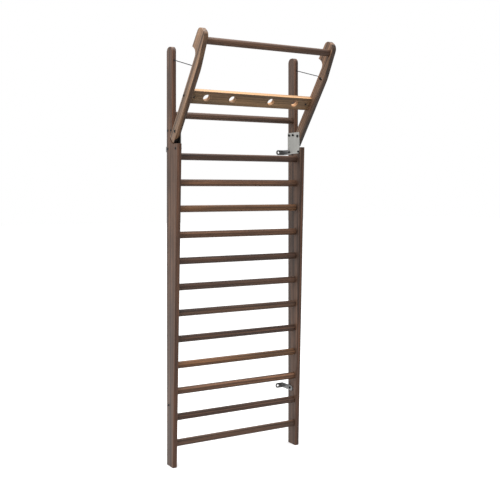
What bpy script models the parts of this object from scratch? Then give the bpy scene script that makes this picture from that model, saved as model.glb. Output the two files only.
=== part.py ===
"""Wall bars with a pull-up frame that folds out from the top and hangs on two stay ropes.

Metres, +Z up. The origin is on the wall, at floor level, on the centre line. +X runs to the
right along the rungs, and -Y points from the wall into the room.
"""

import math

import bmesh
import bpy
from mathutils import Matrix, Vector

# Overall
WIDTH = 0.826
POST_HEIGHT = 2.300
WALL_GAP = 0.060  # from the wall to the backs of the posts

# Posts: the front edge slopes from the foot up to a step, above which the post is slim
BOARD_STOCK = 0.026  # thickness of the posts, the arms and the cross board
FOOT_DEPTH = 0.076
TOP_DEPTH = 0.068
SLIM_LENGTH = 0.532  # from the step to the top
STEP_LIP = 0.0136  # post in front of the hinge plate, at the step
POST_TOP_RADIUS = 0.028
EDGE_ROUND = 0.002

# Rungs
RUNG_DIAMETER = 0.038
RUNG_COUNT = 12
LOWEST_RUNG_HEIGHT = 0.1284
RUNG_BELOW_PLATE = 0.014  # gap from a hinge plate down to the highest rung below the step
HIGH_RUNG_ABOVE_STEP = 0.160
RUNG_SETBACK_FOOT = 0.0284  # rung axis behind the post's front edge, at the lowest rung
RUNG_SETBACK_STEP = 0.0530  # the same at the highest rung below the step
RUNG_SETBACK_HIGH = 0.0280  # the same for the rung in the slim part
TENON_SHOULDER = 0.006
SOCKET_FLOOR = 0.008  # wood left between a socket and the outer face
SHOULDER_ROUND = 0.003

# Pull-up frame. Along an arm, s runs up from the pivot and w runs forward from it.
OPEN_ANGLE = math.radians(37.0)  # from upright to the rope's stop
PIVOT_ABOVE_STEP = 0.066
PIVOT_TO_BACK = 0.033
PIVOT_TO_FRONT = 0.026
TAIL_ROUND = 0.012
FRONT_BEND_BELOW_HOOK = 0.069
FRONT_BEND_RADIUS = 0.250
HEAD_LENGTH = 0.1225  # from the hook's flat to the top of the head
HEAD_FRONT = -0.0055
HEAD_BACK_FROM_TIP = 0.005  # back of the head, in front of the hook's tip
HEAD_FRONT_ROUND = 0.036
HEAD_BACK_ROUND = 0.034
HEAD_ROUND_SHARE = 0.47  # most of the head's depth that a round may take
HOOK_SHORT_OF_BACK = 0.014  # from the hook's tip to the post's back, folded
BAR_DIAMETER = 0.038
BAR_ABOVE_HOOK = 0.071
BAR_SET = -0.024
BOARD_BOTTOM = 0.174
BOARD_WIDTH = 0.078
HAND_HOLE_DIAMETER = 0.040
HAND_HOLES_FROM_END = (0.1046, 0.2635)

# Hinge plates and their bolts
PLATE_THICKNESS = 0.003
PLATE_BELOW_STEP = 0.036
PLATE_ABOVE_PIVOT = 0.023
PLATE_PAST_PIVOT = 0.019
PLATE_CHAMFER = 0.008
BOLT_INSET = 0.0145  # rear bolts, in front of the post's back
LOWER_BRACKET_BOLT_INSET = 0.0245  # the same for the lower brackets' bolts
FRONT_BOLT_INSET = 0.0095  # lower front bolt, behind the plate's front edge
MIDDLE_BOLT_INSET = 0.0130  # upper middle bolt, behind the slim part's front edge
UPPER_BOLTS_INSET = 0.0145  # below the plate's top
LOWER_BOLTS_INSET = 0.0100  # above the plate's bottom
BOLT_DIAMETER = 0.006
PIVOT_BOLT_DIAMETER = 0.008
BOLT_HEAD_DIAMETER = 0.0150
PIVOT_HEAD_DIAMETER = 0.0178
BOLT_HEAD_HEIGHT = 0.0038
NUT_HEIGHT = 0.0065
NUT_CAP = 0.0015  # metal over the blind end of a cap nut

# Wall brackets
BRACKET_WIDTH = 0.030
BRACKET_THICKNESS = 0.004
BRACKET_PAST_BOLT = 0.0255  # from the bolt to the end of the leg on the post
BRACKET_ON_WALL = 0.052
BRACKET_BEND_RADIUS = 0.006
WALL_SCREW_HOLE = 0.0120
WALL_SCREW_FROM_END = 0.0155
LOWER_BRACKET_SHARE = 0.44  # of the way from the second rung to the third

# Cross-board fixings
BOARD_BOLT_DIAMETER = 0.006
BARREL_DIAMETER = 0.010
BARREL_PAST_BOLT = 0.007  # from the bolt's axis to the barrel's inner end
BARREL_FROM_END = 0.0285
BOARD_BOLT_PAST_BARREL = 0.006

# Stay ropes
ROPE_DIAMETER = 0.005
ROPE_PLAY = 0.00175  # on the radius, in its holes
ROPE_BELOW_TOP = 0.075
ROPE_ON_ARM = 0.385
ROPE_BEND_RADIUS = 0.014
ROPE_BEND_DEPTH = 0.003  # how far inside a hole's mouth the rope turns
ROPE_TAIL = 0.003
STOP_DIAMETER = 0.010
STOP_LENGTH = 0.010
STOP_PLAY = 0.0025  # round a stop, in its recess and in the arm's pocket
ARM_POCKET_FROM_BACK = 0.014  # wood between the arm's back edge and the pocket
THREADING_ROOM = 0.017  # pocket past the rope's end

# Clearances
TOUCH_GAP = 0.0003
HOLE_CLEARANCE = 0.0003  # on the radius
FOLD_GAP = 0.003  # arm to post and hook to post top, folded
SWING_GAP = 0.002  # arm tail to the post, over the whole swing
THROUGH = 0.010  # how far a through cutter stands out of the wood
ROUND_STEPS = 16
SMALL_STEPS = 10
ARC_STEP = math.radians(15.0)
CREASE_ANGLE = math.radians(40.0)

# Worked out from the above
POST_OUTER_X = WIDTH / 2
POST_INNER_X = POST_OUTER_X - BOARD_STOCK
POST_MIDDLE_X = POST_OUTER_X - BOARD_STOCK / 2
STEP_HEIGHT = POST_HEIGHT - SLIM_LENGTH
PIVOT_FROM_BACK = TOP_DEPTH + FOLD_GAP + PIVOT_TO_BACK
PIVOT_Y = -(WALL_GAP + PIVOT_FROM_BACK)
PIVOT_Z = STEP_HEIGHT + PIVOT_ABOVE_STEP
PLATE_DEPTH = PIVOT_FROM_BACK + PLATE_PAST_PIVOT
STEP_DEPTH = PLATE_DEPTH + STEP_LIP
HIGHEST_RUNG = STEP_HEIGHT - PLATE_BELOW_STEP - RUNG_BELOW_PLATE - RUNG_DIAMETER / 2
RUNG_PITCH = (HIGHEST_RUNG - LOWEST_RUNG_HEIGHT) / (RUNG_COUNT - 1)
UPPER_BOLTS = PIVOT_Z + PLATE_ABOVE_PIVOT - UPPER_BOLTS_INSET
LOWER_BOLTS = STEP_HEIGHT - PLATE_BELOW_STEP + LOWER_BOLTS_INSET
HOOK_FLAT = POST_HEIGHT - PIVOT_Z + FOLD_GAP
HOOK_REACH = TOP_DEPTH + FOLD_GAP - HOOK_SHORT_OF_BACK
HEAD_BACK = -(PIVOT_TO_BACK + HOOK_REACH - HEAD_BACK_FROM_TIP)
BOARD_MIDDLE = BOARD_BOTTOM + BOARD_WIDTH / 2
BARREL_LENGTH = BOARD_STOCK / 2 + BARREL_PAST_BOLT
STOP_RECESS_DEPTH = STOP_LENGTH + 2 * ROPE_TAIL
ARM_POCKET_WIDTH = STOP_DIAMETER + 2 * STOP_PLAY
ARM_POCKET_LENGTH = STOP_LENGTH + ROPE_TAIL + THREADING_ROOM
ARM_POCKET_DEPTH = BOARD_STOCK / 2 + STOP_DIAMETER / 2 + STOP_PLAY
SIDES = (("left", -1), ("right", 1))


def tail_length():
    """How far an arm reaches below its pivot: its round corner just clears the step."""
    reach = PIVOT_ABOVE_STEP - SWING_GAP - TAIL_ROUND
    return TAIL_ROUND + math.sqrt(reach**2 - (PIVOT_TO_FRONT - TAIL_ROUND) ** 2)


def front_depth(height):
    """Depth of the sloping part of a post at this height."""
    return FOOT_DEPTH + (STEP_DEPTH - FOOT_DEPTH) * height / STEP_HEIGHT


def arm_point(x, s, w):
    """World point of an arm's own coordinates, with the frame folded out."""
    y = PIVOT_Y - s * math.sin(OPEN_ANGLE) - w * math.cos(OPEN_ANGLE)
    z = PIVOT_Z + s * math.cos(OPEN_ANGLE) - w * math.sin(OPEN_ANGLE)
    return Vector((x, y, z))


def arm_frame():
    """Matrix whose local x is s, local y is w and local z is world X, from the pivot."""
    up = Vector((0, -math.sin(OPEN_ANGLE), math.cos(OPEN_ANGLE)))
    forward = Vector((0, -math.cos(OPEN_ANGLE), -math.sin(OPEN_ANGLE)))
    across = up.cross(forward)
    turn = Matrix((up, forward, across)).transposed().to_4x4()
    return Matrix.Translation((0, PIVOT_Y, PIVOT_Z)) @ turn


def side_frame(x):
    """Matrix whose local x is world Y, local y is world Z and local z is world X."""
    turn = Matrix(((0, 0, 1), (1, 0, 0), (0, 1, 0))).to_4x4()
    return Matrix.Translation((x, 0, 0)) @ turn


# ---------------------------------------------------------------- scene helpers


def new_collection(name, parent=None):
    made = bpy.data.collections.new(name)
    (parent or bpy.context.scene.collection).children.link(made)
    return made


def material(name, color, roughness, metallic=0.0):
    made = bpy.data.materials.new(name)
    made.use_nodes = True
    shader = made.node_tree.nodes["Principled BSDF"]
    shader.inputs["Base Color"].default_value = (*color, 1.0)
    shader.inputs["Roughness"].default_value = roughness
    shader.inputs["Metallic"].default_value = metallic
    return made


def add_object(name, mesh, collection, surface=None, matrix=None):
    made = bpy.data.objects.new(name, mesh)
    collection.objects.link(made)
    if matrix is not None:
        made.matrix_world = matrix
    if surface is not None:
        mesh.materials.append(surface)
    return made


def parent_to(child, empty):
    """Parents without moving the child in the world."""
    child.parent = empty
    child.matrix_parent_inverse = empty.matrix_world.inverted()


def as_cutter(made):
    made.hide_render = True
    made.display_type = "WIRE"
    return made


def cut_with(target, collection):
    modifier = target.modifiers.new("cuts", "BOOLEAN")
    modifier.operation = "DIFFERENCE"
    modifier.operand_type = "COLLECTION"
    modifier.collection = collection
    modifier.solver = "EXACT"


def round_edges(target, width):
    modifier = target.modifiers.new("edges", "BEVEL")
    modifier.width = width
    modifier.segments = 2
    modifier.limit_method = "ANGLE"
    modifier.angle_limit = math.radians(50)
    modifier.use_clamp_overlap = True


# ---------------------------------------------------------------- shape helpers


def arc(center, radius, start, end):
    """Points on an arc, both ends included; angles in radians."""
    steps = max(2, math.ceil(abs(end - start) / ARC_STEP))
    points = []
    for i in range(steps + 1):
        angle = start + (end - start) * i / steps
        points.append((center[0] + radius * math.cos(angle), center[1] + radius * math.sin(angle)))
    return points


def filleted(corners):
    """Outline through (x, y, radius) corners, each rounded to its radius."""
    points = []
    for i, (x, y, radius) in enumerate(corners):
        corner = Vector((x, y))
        if radius == 0:
            points.append((x, y))
            continue
        before = (Vector(corners[i - 1][:2]) - corner).normalized()
        after = (Vector(corners[(i + 1) % len(corners)][:2]) - corner).normalized()
        half = before.angle(after) / 2
        center = corner + (before + after).normalized() * radius / math.sin(half)
        first = corner + before * radius / math.tan(half) - center
        last = corner + after * radius / math.tan(half) - center
        start = math.atan2(first.y, first.x)
        sweep = (math.atan2(last.y, last.x) - start + math.pi) % (2 * math.pi) - math.pi
        points += arc(center, radius, start, start + sweep)
    return points


def shade_round(mesh):
    """Smooth shading, with edges that turn sharply left as creases."""
    mesh.shade_smooth()
    mesh.set_sharp_from_angle(angle=CREASE_ANGLE)


def curve_to_mesh(curve_object):
    """Replaces a curve object by a mesh with welded caps and flat faces merged."""
    name = curve_object.name
    matrix = curve_object.matrix_world.copy()
    bpy.context.view_layer.update()
    graph = bpy.context.evaluated_depsgraph_get()
    mesh = bpy.data.meshes.new_from_object(curve_object.evaluated_get(graph))
    bpy.data.objects.remove(curve_object)
    work = bmesh.new()
    work.from_mesh(mesh)
    bmesh.ops.remove_doubles(work, verts=work.verts, dist=1e-5)
    bmesh.ops.dissolve_limit(
        work, angle_limit=math.radians(0.5), verts=work.verts, edges=work.edges
    )
    bmesh.ops.recalc_face_normals(work, faces=work.faces)
    work.to_mesh(mesh)
    work.free()
    shade_round(mesh)
    mesh.name = name
    return mesh, matrix


def flat_piece(name, outline, thickness, matrix, collection, surface=None):
    """A flat piece: its outline in the matrix's XY plane, half its thickness to each side."""
    curve = bpy.data.curves.new(name, "CURVE")
    curve.dimensions = "2D"
    curve.fill_mode = "BOTH"
    curve.extrude = thickness / 2
    spline = curve.splines.new("POLY")
    spline.points.add(len(outline) - 1)
    for point, (x, y) in zip(spline.points, outline):
        point.co = (x, y, 0, 1)
    spline.use_cyclic_u = True
    guide = bpy.data.objects.new(name + "_outline", curve)
    collection.objects.link(guide)
    guide.matrix_world = matrix
    mesh, placed = curve_to_mesh(guide)
    return add_object(name, mesh, collection, surface, placed)


def turned_piece(name, profile, steps, matrix, collection, surface=None, closed=False):
    """A turned piece: a (radius, height) profile screwed round the matrix's Z axis."""
    mesh = bpy.data.meshes.new(name)
    edges = [(i, i + 1) for i in range(len(profile) - 1)]
    if closed:
        edges.append((len(profile) - 1, 0))
    mesh.from_pydata([(radius, 0, height) for radius, height in profile], edges, [])
    guide = add_object(name + "_profile", mesh, collection)
    screw = guide.modifiers.new("turn", "SCREW")
    screw.axis = "Z"
    screw.steps = steps
    screw.render_steps = steps
    screw.use_merge_vertices = True
    screw.merge_threshold = 1e-5
    bpy.context.view_layer.update()
    graph = bpy.context.evaluated_depsgraph_get()
    solid = bpy.data.meshes.new_from_object(guide.evaluated_get(graph))
    bpy.data.objects.remove(guide)
    shade_round(solid)
    return add_object(name, solid, collection, surface, matrix)


def along_x(x, y, z, direction):
    """Matrix that points a turned piece's Z axis along +X or -X from this place."""
    turn = Matrix.Rotation(direction * math.pi / 2, 4, "Y")
    return Matrix.Translation((x, y, z)) @ turn


def drill(name, radius, length, matrix, collection, steps=SMALL_STEPS):
    """A cylindrical cutter, centred on the matrix's origin, along its Z axis."""
    mesh = bpy.data.meshes.new(name)
    work = bmesh.new()
    bmesh.ops.create_cone(
        work, cap_ends=True, segments=steps, radius1=radius, radius2=radius, depth=length
    )
    work.to_mesh(mesh)
    work.free()
    return as_cutter(add_object(name, mesh, collection, matrix=matrix))


def slab_cutter(name, size, center, collection):
    """A box cutter, aligned with the world."""
    mesh = bpy.data.meshes.new(name)
    work = bmesh.new()
    bmesh.ops.create_cube(work, size=1.0)
    bmesh.ops.scale(work, vec=size, verts=work.verts)
    work.to_mesh(mesh)
    work.free()
    return as_cutter(add_object(name, mesh, collection, matrix=Matrix.Translation(center)))


# ---------------------------------------------------------------- places


def rung_places():
    """(name, y, z) of every rung's axis, from the floor up."""
    places = []
    for i in range(RUNG_COUNT):
        height = LOWEST_RUNG_HEIGHT + i * RUNG_PITCH
        share = i / (RUNG_COUNT - 1)
        setback = RUNG_SETBACK_FOOT + (RUNG_SETBACK_STEP - RUNG_SETBACK_FOOT) * share
        depth = front_depth(height) - setback
        places.append((f"rung_{i + 1:02d}", -(WALL_GAP + depth), height))
    depth = TOP_DEPTH - RUNG_SETBACK_HIGH
    high = (f"rung_{RUNG_COUNT + 1:02d}", -(WALL_GAP + depth), STEP_HEIGHT + HIGH_RUNG_ABOVE_STEP)
    return places + [high]


def plate_bolt_places():
    """(name, y, z) of the four bolts that hold a hinge plate to its post."""
    rear = -(WALL_GAP + BOLT_INSET)
    middle = -(WALL_GAP + TOP_DEPTH - MIDDLE_BOLT_INSET)
    front = -(WALL_GAP + PLATE_DEPTH - FRONT_BOLT_INSET)
    return [
        ("upper_rear", rear, UPPER_BOLTS),
        ("upper_middle", middle, UPPER_BOLTS),
        ("lower_rear", rear, LOWER_BOLTS),
        ("lower_front", front, LOWER_BOLTS),
    ]


def lower_bracket_height():
    return LOWEST_RUNG_HEIGHT + (1 + LOWER_BRACKET_SHARE) * RUNG_PITCH


def rope_height():
    return POST_HEIGHT - ROPE_BELOW_TOP


# ---------------------------------------------------------------- outlines


def post_outline():
    """(y, z) outline of a post, with the recess that the arm's tail swings in."""
    back = -WALL_GAP
    slim = -(WALL_GAP + TOP_DEPTH)
    step_front = -(WALL_GAP + STEP_DEPTH)
    foot_front = -(WALL_GAP + FOOT_DEPTH)
    top_round = min(POST_TOP_RADIUS, TOP_DEPTH / 2 - EDGE_ROUND)
    half_pi = math.pi / 2

    # The recess: a line just behind the open arm's back edge, then an arc round the pivot
    clear = PIVOT_TO_BACK + SWING_GAP
    swing = math.hypot(tail_length(), PIVOT_TO_BACK) + SWING_GAP
    line_rise = (clear * math.cos(OPEN_ANGLE) - (PIVOT_TO_BACK + FOLD_GAP)) / math.sin(OPEN_ANGLE)
    mouth_z = PIVOT_Z + clear * math.sin(OPEN_ANGLE) + line_rise * math.cos(OPEN_ANGLE)
    line_angle = OPEN_ANGLE - math.acos(clear / swing)
    step_angle = -math.asin(PIVOT_ABOVE_STEP / swing)

    outline = [(foot_front, 0), (back, 0)]
    outline += arc((back - top_round, POST_HEIGHT - top_round), top_round, 0, half_pi)
    outline += arc((slim + top_round, POST_HEIGHT - top_round), top_round, half_pi, math.pi)
    outline.append((slim, mouth_z))
    outline += arc((PIVOT_Y, PIVOT_Z), swing, line_angle, step_angle)
    outline.append((step_front, STEP_HEIGHT))
    return outline


def arm_outline():
    """(s, w) outline of an arm: tail, bent front edge, rounded head, hook and back edge."""
    top_round = min(POST_TOP_RADIUS, TOP_DEPTH / 2 - EDGE_ROUND)
    hook_round = top_round + FOLD_GAP
    back = -PIVOT_TO_BACK
    tip = back - HOOK_REACH
    center_s = HOOK_FLAT - hook_round
    front_center_w = back - hook_round
    rear_center_w = back - (TOP_DEPTH - 2 * top_round) - hook_round
    tip_angle = math.acos((rear_center_w - tip) / hook_round)
    tip_s = center_s + hook_round * math.sin(tip_angle)
    head_top = HOOK_FLAT + HEAD_LENGTH
    widest_round = HEAD_ROUND_SHARE * (HEAD_FRONT - HEAD_BACK)

    # From the tail round the front to the hook's tip, then under the hook to the back edge
    outline = filleted(
        [
            (-tail_length(), back, 0),
            (-tail_length(), PIVOT_TO_FRONT, TAIL_ROUND),
            (HOOK_FLAT - FRONT_BEND_BELOW_HOOK, PIVOT_TO_FRONT, FRONT_BEND_RADIUS),
            (head_top, HEAD_FRONT, min(HEAD_FRONT_ROUND, widest_round)),
            (head_top, HEAD_BACK, min(HEAD_BACK_ROUND, widest_round)),
            (tip_s, tip, 0),
        ]
    )
    half_pi = math.pi / 2
    # In (s, w), angle 0 points up the arm and -90 degrees points behind it
    outline += arc((center_s, rear_center_w), hook_round, tip_angle - half_pi, 0)[1:]
    outline += arc((center_s, front_center_w), hook_round, 0, half_pi)
    return outline


# ---------------------------------------------------------------- wooden pieces


def make_posts(parts, cutters, wood):
    socket_depth = BOARD_STOCK - SOCKET_FLOOR
    tenon_radius = RUNG_DIAMETER / 2 - TENON_SHOULDER
    for side, sign in SIDES:
        post = flat_piece(
            f"{side}_post",
            post_outline(),
            BOARD_STOCK,
            side_frame(sign * POST_MIDDLE_X),
            parts,
            wood,
        )
        round_edges(post, EDGE_ROUND)
        cuts = new_collection(f"{side}_post_cutters", cutters)
        for name, y, z in rung_places():
            middle = POST_INNER_X + (socket_depth - THROUGH) / 2
            drill(
                f"{side}_{name}_socket",
                tenon_radius + HOLE_CLEARANCE,
                socket_depth + THROUGH,
                along_x(sign * middle, y, z, 1),
                cuts,
                ROUND_STEPS,
            )
        through = BOARD_STOCK + 2 * THROUGH
        inset = LOWER_BRACKET_BOLT_INSET
        lower_bracket = ("lower_bracket", -(WALL_GAP + inset), lower_bracket_height())
        for name, y, z in plate_bolt_places() + [lower_bracket]:
            drill(
                f"{side}_{name}_hole",
                BOLT_DIAMETER / 2 + HOLE_CLEARANCE,
                through,
                along_x(sign * POST_MIDDLE_X, y, z, 1),
                cuts,
            )
        make_bracket_rebate(side, sign, cuts)
        make_rope_hole(side, sign, cuts)
        cut_with(post, cuts)


def make_bracket_rebate(side, sign, cuts):
    """The shallow rebate that lets the upper bracket lie under the hinge plate."""
    deep = BRACKET_THICKNESS + 2 * TOUCH_GAP
    long = BOLT_INSET + BRACKET_PAST_BOLT + TOUCH_GAP
    size = (deep + THROUGH, long + THROUGH, BRACKET_WIDTH + 2 * TOUCH_GAP)
    x = sign * (POST_INNER_X + (deep - THROUGH) / 2)
    y = -WALL_GAP + (THROUGH - long) / 2
    slab_cutter(f"{side}_bracket_rebate", size, (x, y, LOWER_BOLTS), cuts)


def make_rope_hole(side, sign, cuts):
    """The rope's hole through the post, with a recess for its stop at the back."""
    x = sign * POST_MIDDLE_X
    lie = Matrix.Rotation(math.pi / 2, 4, "X")
    middle = -(WALL_GAP + TOP_DEPTH / 2)
    place = Matrix.Translation((x, middle, rope_height())) @ lie
    drill(f"{side}_rope_hole", ROPE_DIAMETER / 2 + ROPE_PLAY, TOP_DEPTH + 2 * THROUGH, place, cuts)
    recess_y = -WALL_GAP + (THROUGH - STOP_RECESS_DEPTH) / 2
    place = Matrix.Translation((x, recess_y, rope_height())) @ lie
    drill(
        f"{side}_rope_recess",
        STOP_DIAMETER / 2 + STOP_PLAY,
        STOP_RECESS_DEPTH + THROUGH,
        place,
        cuts,
        ROUND_STEPS,
    )


def round_bar_profile(radius, length):
    """Half profile of a rung or bar: a tenon, a rounded shoulder and the body, at both ends."""
    tenon = radius - TENON_SHOULDER
    shoulder = length / 2 - TOUCH_GAP
    end = length / 2 + BOARD_STOCK - SOCKET_FLOOR - TOUCH_GAP
    upper = [
        (0, end),
        (tenon, end),
        (tenon, shoulder),
        (radius - SHOULDER_ROUND, shoulder),
        (radius, shoulder - SHOULDER_ROUND),
    ]
    return upper + [(r, -z) for r, z in reversed(upper)]


def make_rungs(parts, wood):
    profile = round_bar_profile(RUNG_DIAMETER / 2, 2 * POST_INNER_X)
    for name, y, z in rung_places():
        turned_piece(name, profile, ROUND_STEPS, along_x(0, y, z, 1), parts, wood)


def make_arms(parts, cutters, wood, hinge):
    socket_depth = BOARD_STOCK - SOCKET_FLOOR
    for side, sign in SIDES:
        frame = Matrix.Translation((sign * POST_MIDDLE_X, 0, 0)) @ arm_frame()
        arm = flat_piece(f"{side}_arm", arm_outline(), BOARD_STOCK, frame, parts, wood)
        round_edges(arm, EDGE_ROUND)
        cuts = new_collection(f"{side}_arm_cutters", cutters)

        def across(name, s, w, radius, depth, steps):
            """Drills from the inner face, through the arm where depth is its thickness."""
            extra = THROUGH if depth >= BOARD_STOCK else 0
            x = sign * (POST_INNER_X + (depth + extra - THROUGH) / 2)
            place = arm_point(x, s, w)
            length = depth + extra + THROUGH
            drill(f"{side}_{name}", radius, length, along_x(*place, 1), cuts, steps)

        pivot_hole = PIVOT_BOLT_DIAMETER / 2 + HOLE_CLEARANCE
        bolt_hole = BOARD_BOLT_DIAMETER / 2 + HOLE_CLEARANCE
        tenon_hole = BAR_DIAMETER / 2 - TENON_SHOULDER + HOLE_CLEARANCE
        across("pivot_hole", 0, 0, pivot_hole, BOARD_STOCK, ROUND_STEPS)
        across("board_bolt_hole", BOARD_MIDDLE, board_bolt_set(), bolt_hole, BOARD_STOCK, SMALL_STEPS)
        bar_s = HOOK_FLAT + BAR_ABOVE_HOOK
        across("bar_socket", bar_s, BAR_SET, tenon_hole, socket_depth, ROUND_STEPS)
        make_arm_pocket(side, sign, frame, cuts)
        cut_with(arm, cuts)
        parent_to(arm, hinge)


def pocket_span():
    """w of the pocket's two ends, rear and front."""
    rear = -PIVOT_TO_BACK + ARM_POCKET_FROM_BACK
    return rear, rear + ARM_POCKET_LENGTH


def make_arm_pocket(side, sign, frame, cuts):
    """The slot in the arm's inner face for the rope's stop, and the hole from it to the back."""
    rear, front = pocket_span()
    radius = ARM_POCKET_WIDTH / 2
    half_pi = math.pi / 2
    outline = arc((ROPE_ON_ARM, front - radius), radius, 0, math.pi)
    outline += arc((ROPE_ON_ARM, rear + radius), radius, math.pi, 2 * math.pi)
    x = sign * (POST_INNER_X + (ARM_POCKET_DEPTH - THROUGH) / 2)
    place = Matrix.Translation((x, 0, 0)) @ arm_frame()
    thickness = ARM_POCKET_DEPTH + THROUGH
    pocket = flat_piece(f"{side}_rope_pocket", outline, thickness, place, cuts)
    as_cutter(pocket)
    length = ARM_POCKET_FROM_BACK + radius + THROUGH
    middle_w = rear + radius - length / 2
    place = frame @ Matrix.Translation((ROPE_ON_ARM, middle_w, 0))
    place = place @ Matrix.Rotation(half_pi, 4, "X")
    drill(f"{side}_arm_rope_hole", ROPE_DIAMETER / 2 + ROPE_PLAY, length, place, cuts)


def stop_start_w():
    """w where the rope's stop seats, across the pocket's rounded end."""
    radius = ARM_POCKET_WIDTH / 2
    sagitta = radius - math.sqrt(radius**2 - (STOP_DIAMETER / 2) ** 2)
    return pocket_span()[0] + sagitta + TOUCH_GAP


def board_bolt_set():
    """w of the cross-board bolts: the middle of the board's thickness."""
    return -PIVOT_TO_BACK + BOARD_STOCK / 2


def make_cross_board(parts, cutters, wood, hinge):
    half = POST_INNER_X - TOUCH_GAP
    top = BOARD_BOTTOM + BOARD_WIDTH
    frame = arm_frame()
    # Local x along the board (world X), local y up the arm, local z towards its front
    turn = Matrix(((0, 1, 0), (0, 0, 1), (1, 0, 0))).to_4x4()
    board_frame = frame @ Matrix.Translation((0, board_bolt_set(), 0)) @ turn
    outline = [(-half, BOARD_BOTTOM), (half, BOARD_BOTTOM), (half, top), (-half, top)]
    board = flat_piece("cross_board", outline, BOARD_STOCK, board_frame, parts, wood)
    round_edges(board, EDGE_ROUND)
    cuts = new_collection("cross_board_cutters", cutters)
    through = BOARD_STOCK + 2 * THROUGH
    for side, sign in SIDES:
        for i, from_end in enumerate(HAND_HOLES_FROM_END):
            hole_x = sign * (POST_INNER_X - from_end)
            place = board_frame @ Matrix.Translation((hole_x, BOARD_MIDDLE, 0))
            radius = HAND_HOLE_DIAMETER / 2
            drill(f"{side}_hand_hole_{i + 1}", radius, through, place, cuts, ROUND_STEPS)
        barrel_x = sign * (POST_INNER_X - BARREL_FROM_END)
        depth = BARREL_LENGTH + TOUCH_GAP
        front = (BOARD_STOCK + THROUGH - depth) / 2
        place = board_frame @ Matrix.Translation((barrel_x, BOARD_MIDDLE, front))
        radius = BARREL_DIAMETER / 2 + HOLE_CLEARANCE
        drill(f"{side}_barrel_hole", radius, depth + THROUGH, place, cuts, SMALL_STEPS)
        length = BARREL_FROM_END + BOARD_BOLT_PAST_BARREL + TOUCH_GAP + THROUGH
        x = sign * (POST_INNER_X + THROUGH - length / 2)
        radius = BOARD_BOLT_DIAMETER / 2 + HOLE_CLEARANCE
        place = arm_point(x, BOARD_MIDDLE, board_bolt_set())
        drill(f"{side}_end_hole", radius, length, along_x(*place, 1), cuts)
    cut_with(board, cuts)
    parent_to(board, hinge)


def make_pull_up_bar(parts, wood, hinge):
    place = arm_point(0, HOOK_FLAT + BAR_ABOVE_HOOK, BAR_SET)
    profile = round_bar_profile(BAR_DIAMETER / 2, 2 * POST_INNER_X)
    bar = turned_piece("pull_up_bar", profile, ROUND_STEPS, along_x(*place, 1), parts, wood)
    parent_to(bar, hinge)


# ---------------------------------------------------------------- steel pieces


def make_hinge_plates(parts, cutters, steel):
    back = -WALL_GAP
    front = -(WALL_GAP + PLATE_DEPTH)
    bottom = STEP_HEIGHT - PLATE_BELOW_STEP
    top = PIVOT_Z + PLATE_ABOVE_PIVOT
    outline = [
        (front + PLATE_CHAMFER, bottom),
        (back, bottom),
        (back, top),
        (front, top),
        (front, bottom + PLATE_CHAMFER),
    ]
    for side, sign in SIDES:
        x = sign * (POST_INNER_X - TOUCH_GAP - PLATE_THICKNESS / 2)
        name = f"{side}_hinge_plate"
        plate = flat_piece(name, outline, PLATE_THICKNESS, side_frame(x), parts, steel)
        cuts = new_collection(f"{side}_hinge_plate_cutters", cutters)
        through = PLATE_THICKNESS + 2 * THROUGH
        for bolt, y, z in plate_bolt_places():
            radius = BOLT_DIAMETER / 2 + HOLE_CLEARANCE
            drill(f"{side}_plate_{bolt}_hole", radius, through, along_x(x, y, z, 1), cuts)
        radius = PIVOT_BOLT_DIAMETER / 2 + HOLE_CLEARANCE
        place = along_x(x, PIVOT_Y, PIVOT_Z, 1)
        drill(f"{side}_plate_pivot_hole", radius, through, place, cuts)
        cut_with(plate, cuts)


def bracket_outline(leg_face_x, sign, bolt_inset):
    """(x, y) outline of a bent strap: one leg on the post, the other on the wall."""
    inward = -sign
    inner_x = leg_face_x + inward * BRACKET_THICKNESS
    tip_x = leg_face_x + inward * BRACKET_ON_WALL
    front = -(WALL_GAP + bolt_inset + BRACKET_PAST_BOLT)
    inside = BRACKET_BEND_RADIUS - BRACKET_THICKNESS
    return filleted(
        [
            (leg_face_x, front, 0),
            (leg_face_x, 0, BRACKET_BEND_RADIUS),
            (tip_x, 0, 0),
            (tip_x, -BRACKET_THICKNESS, 0),
            (inner_x, -BRACKET_THICKNESS, inside),
            (inner_x, front, 0),
        ]
    )


def round_strap_ends(mesh):
    """Rounds the two free ends of a bent strap, seen square to each leg."""
    work = bmesh.new()
    work.from_mesh(mesh)
    edge_z = BRACKET_WIDTH / 2 - 1e-4
    low_y = min(vert.co.y for vert in work.verts)
    near = min(work.verts, key=lambda vert: abs(vert.co.x)).co.x
    ends = []
    for edge in work.edges:
        a, b = (vert.co for vert in edge.verts)
        on_rim = min(abs(a.z), abs(b.z)) > edge_z and abs(a.z - b.z) < 1e-4
        at_front = max(a.y, b.y) < low_y + 1e-4 and abs(a.x - b.x) > 1e-4
        at_tip = max(abs(a.x - near), abs(b.x - near)) < 1e-4 and abs(a.y - b.y) > 1e-4
        if on_rim and (at_front or at_tip):
            ends.append(edge)
    bmesh.ops.bevel(
        work,
        geom=ends,
        offset=BRACKET_WIDTH / 2 - EDGE_ROUND,
        segments=5,
        profile=0.5,
        affect="EDGES",
    )
    work.to_mesh(mesh)
    work.free()


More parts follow.
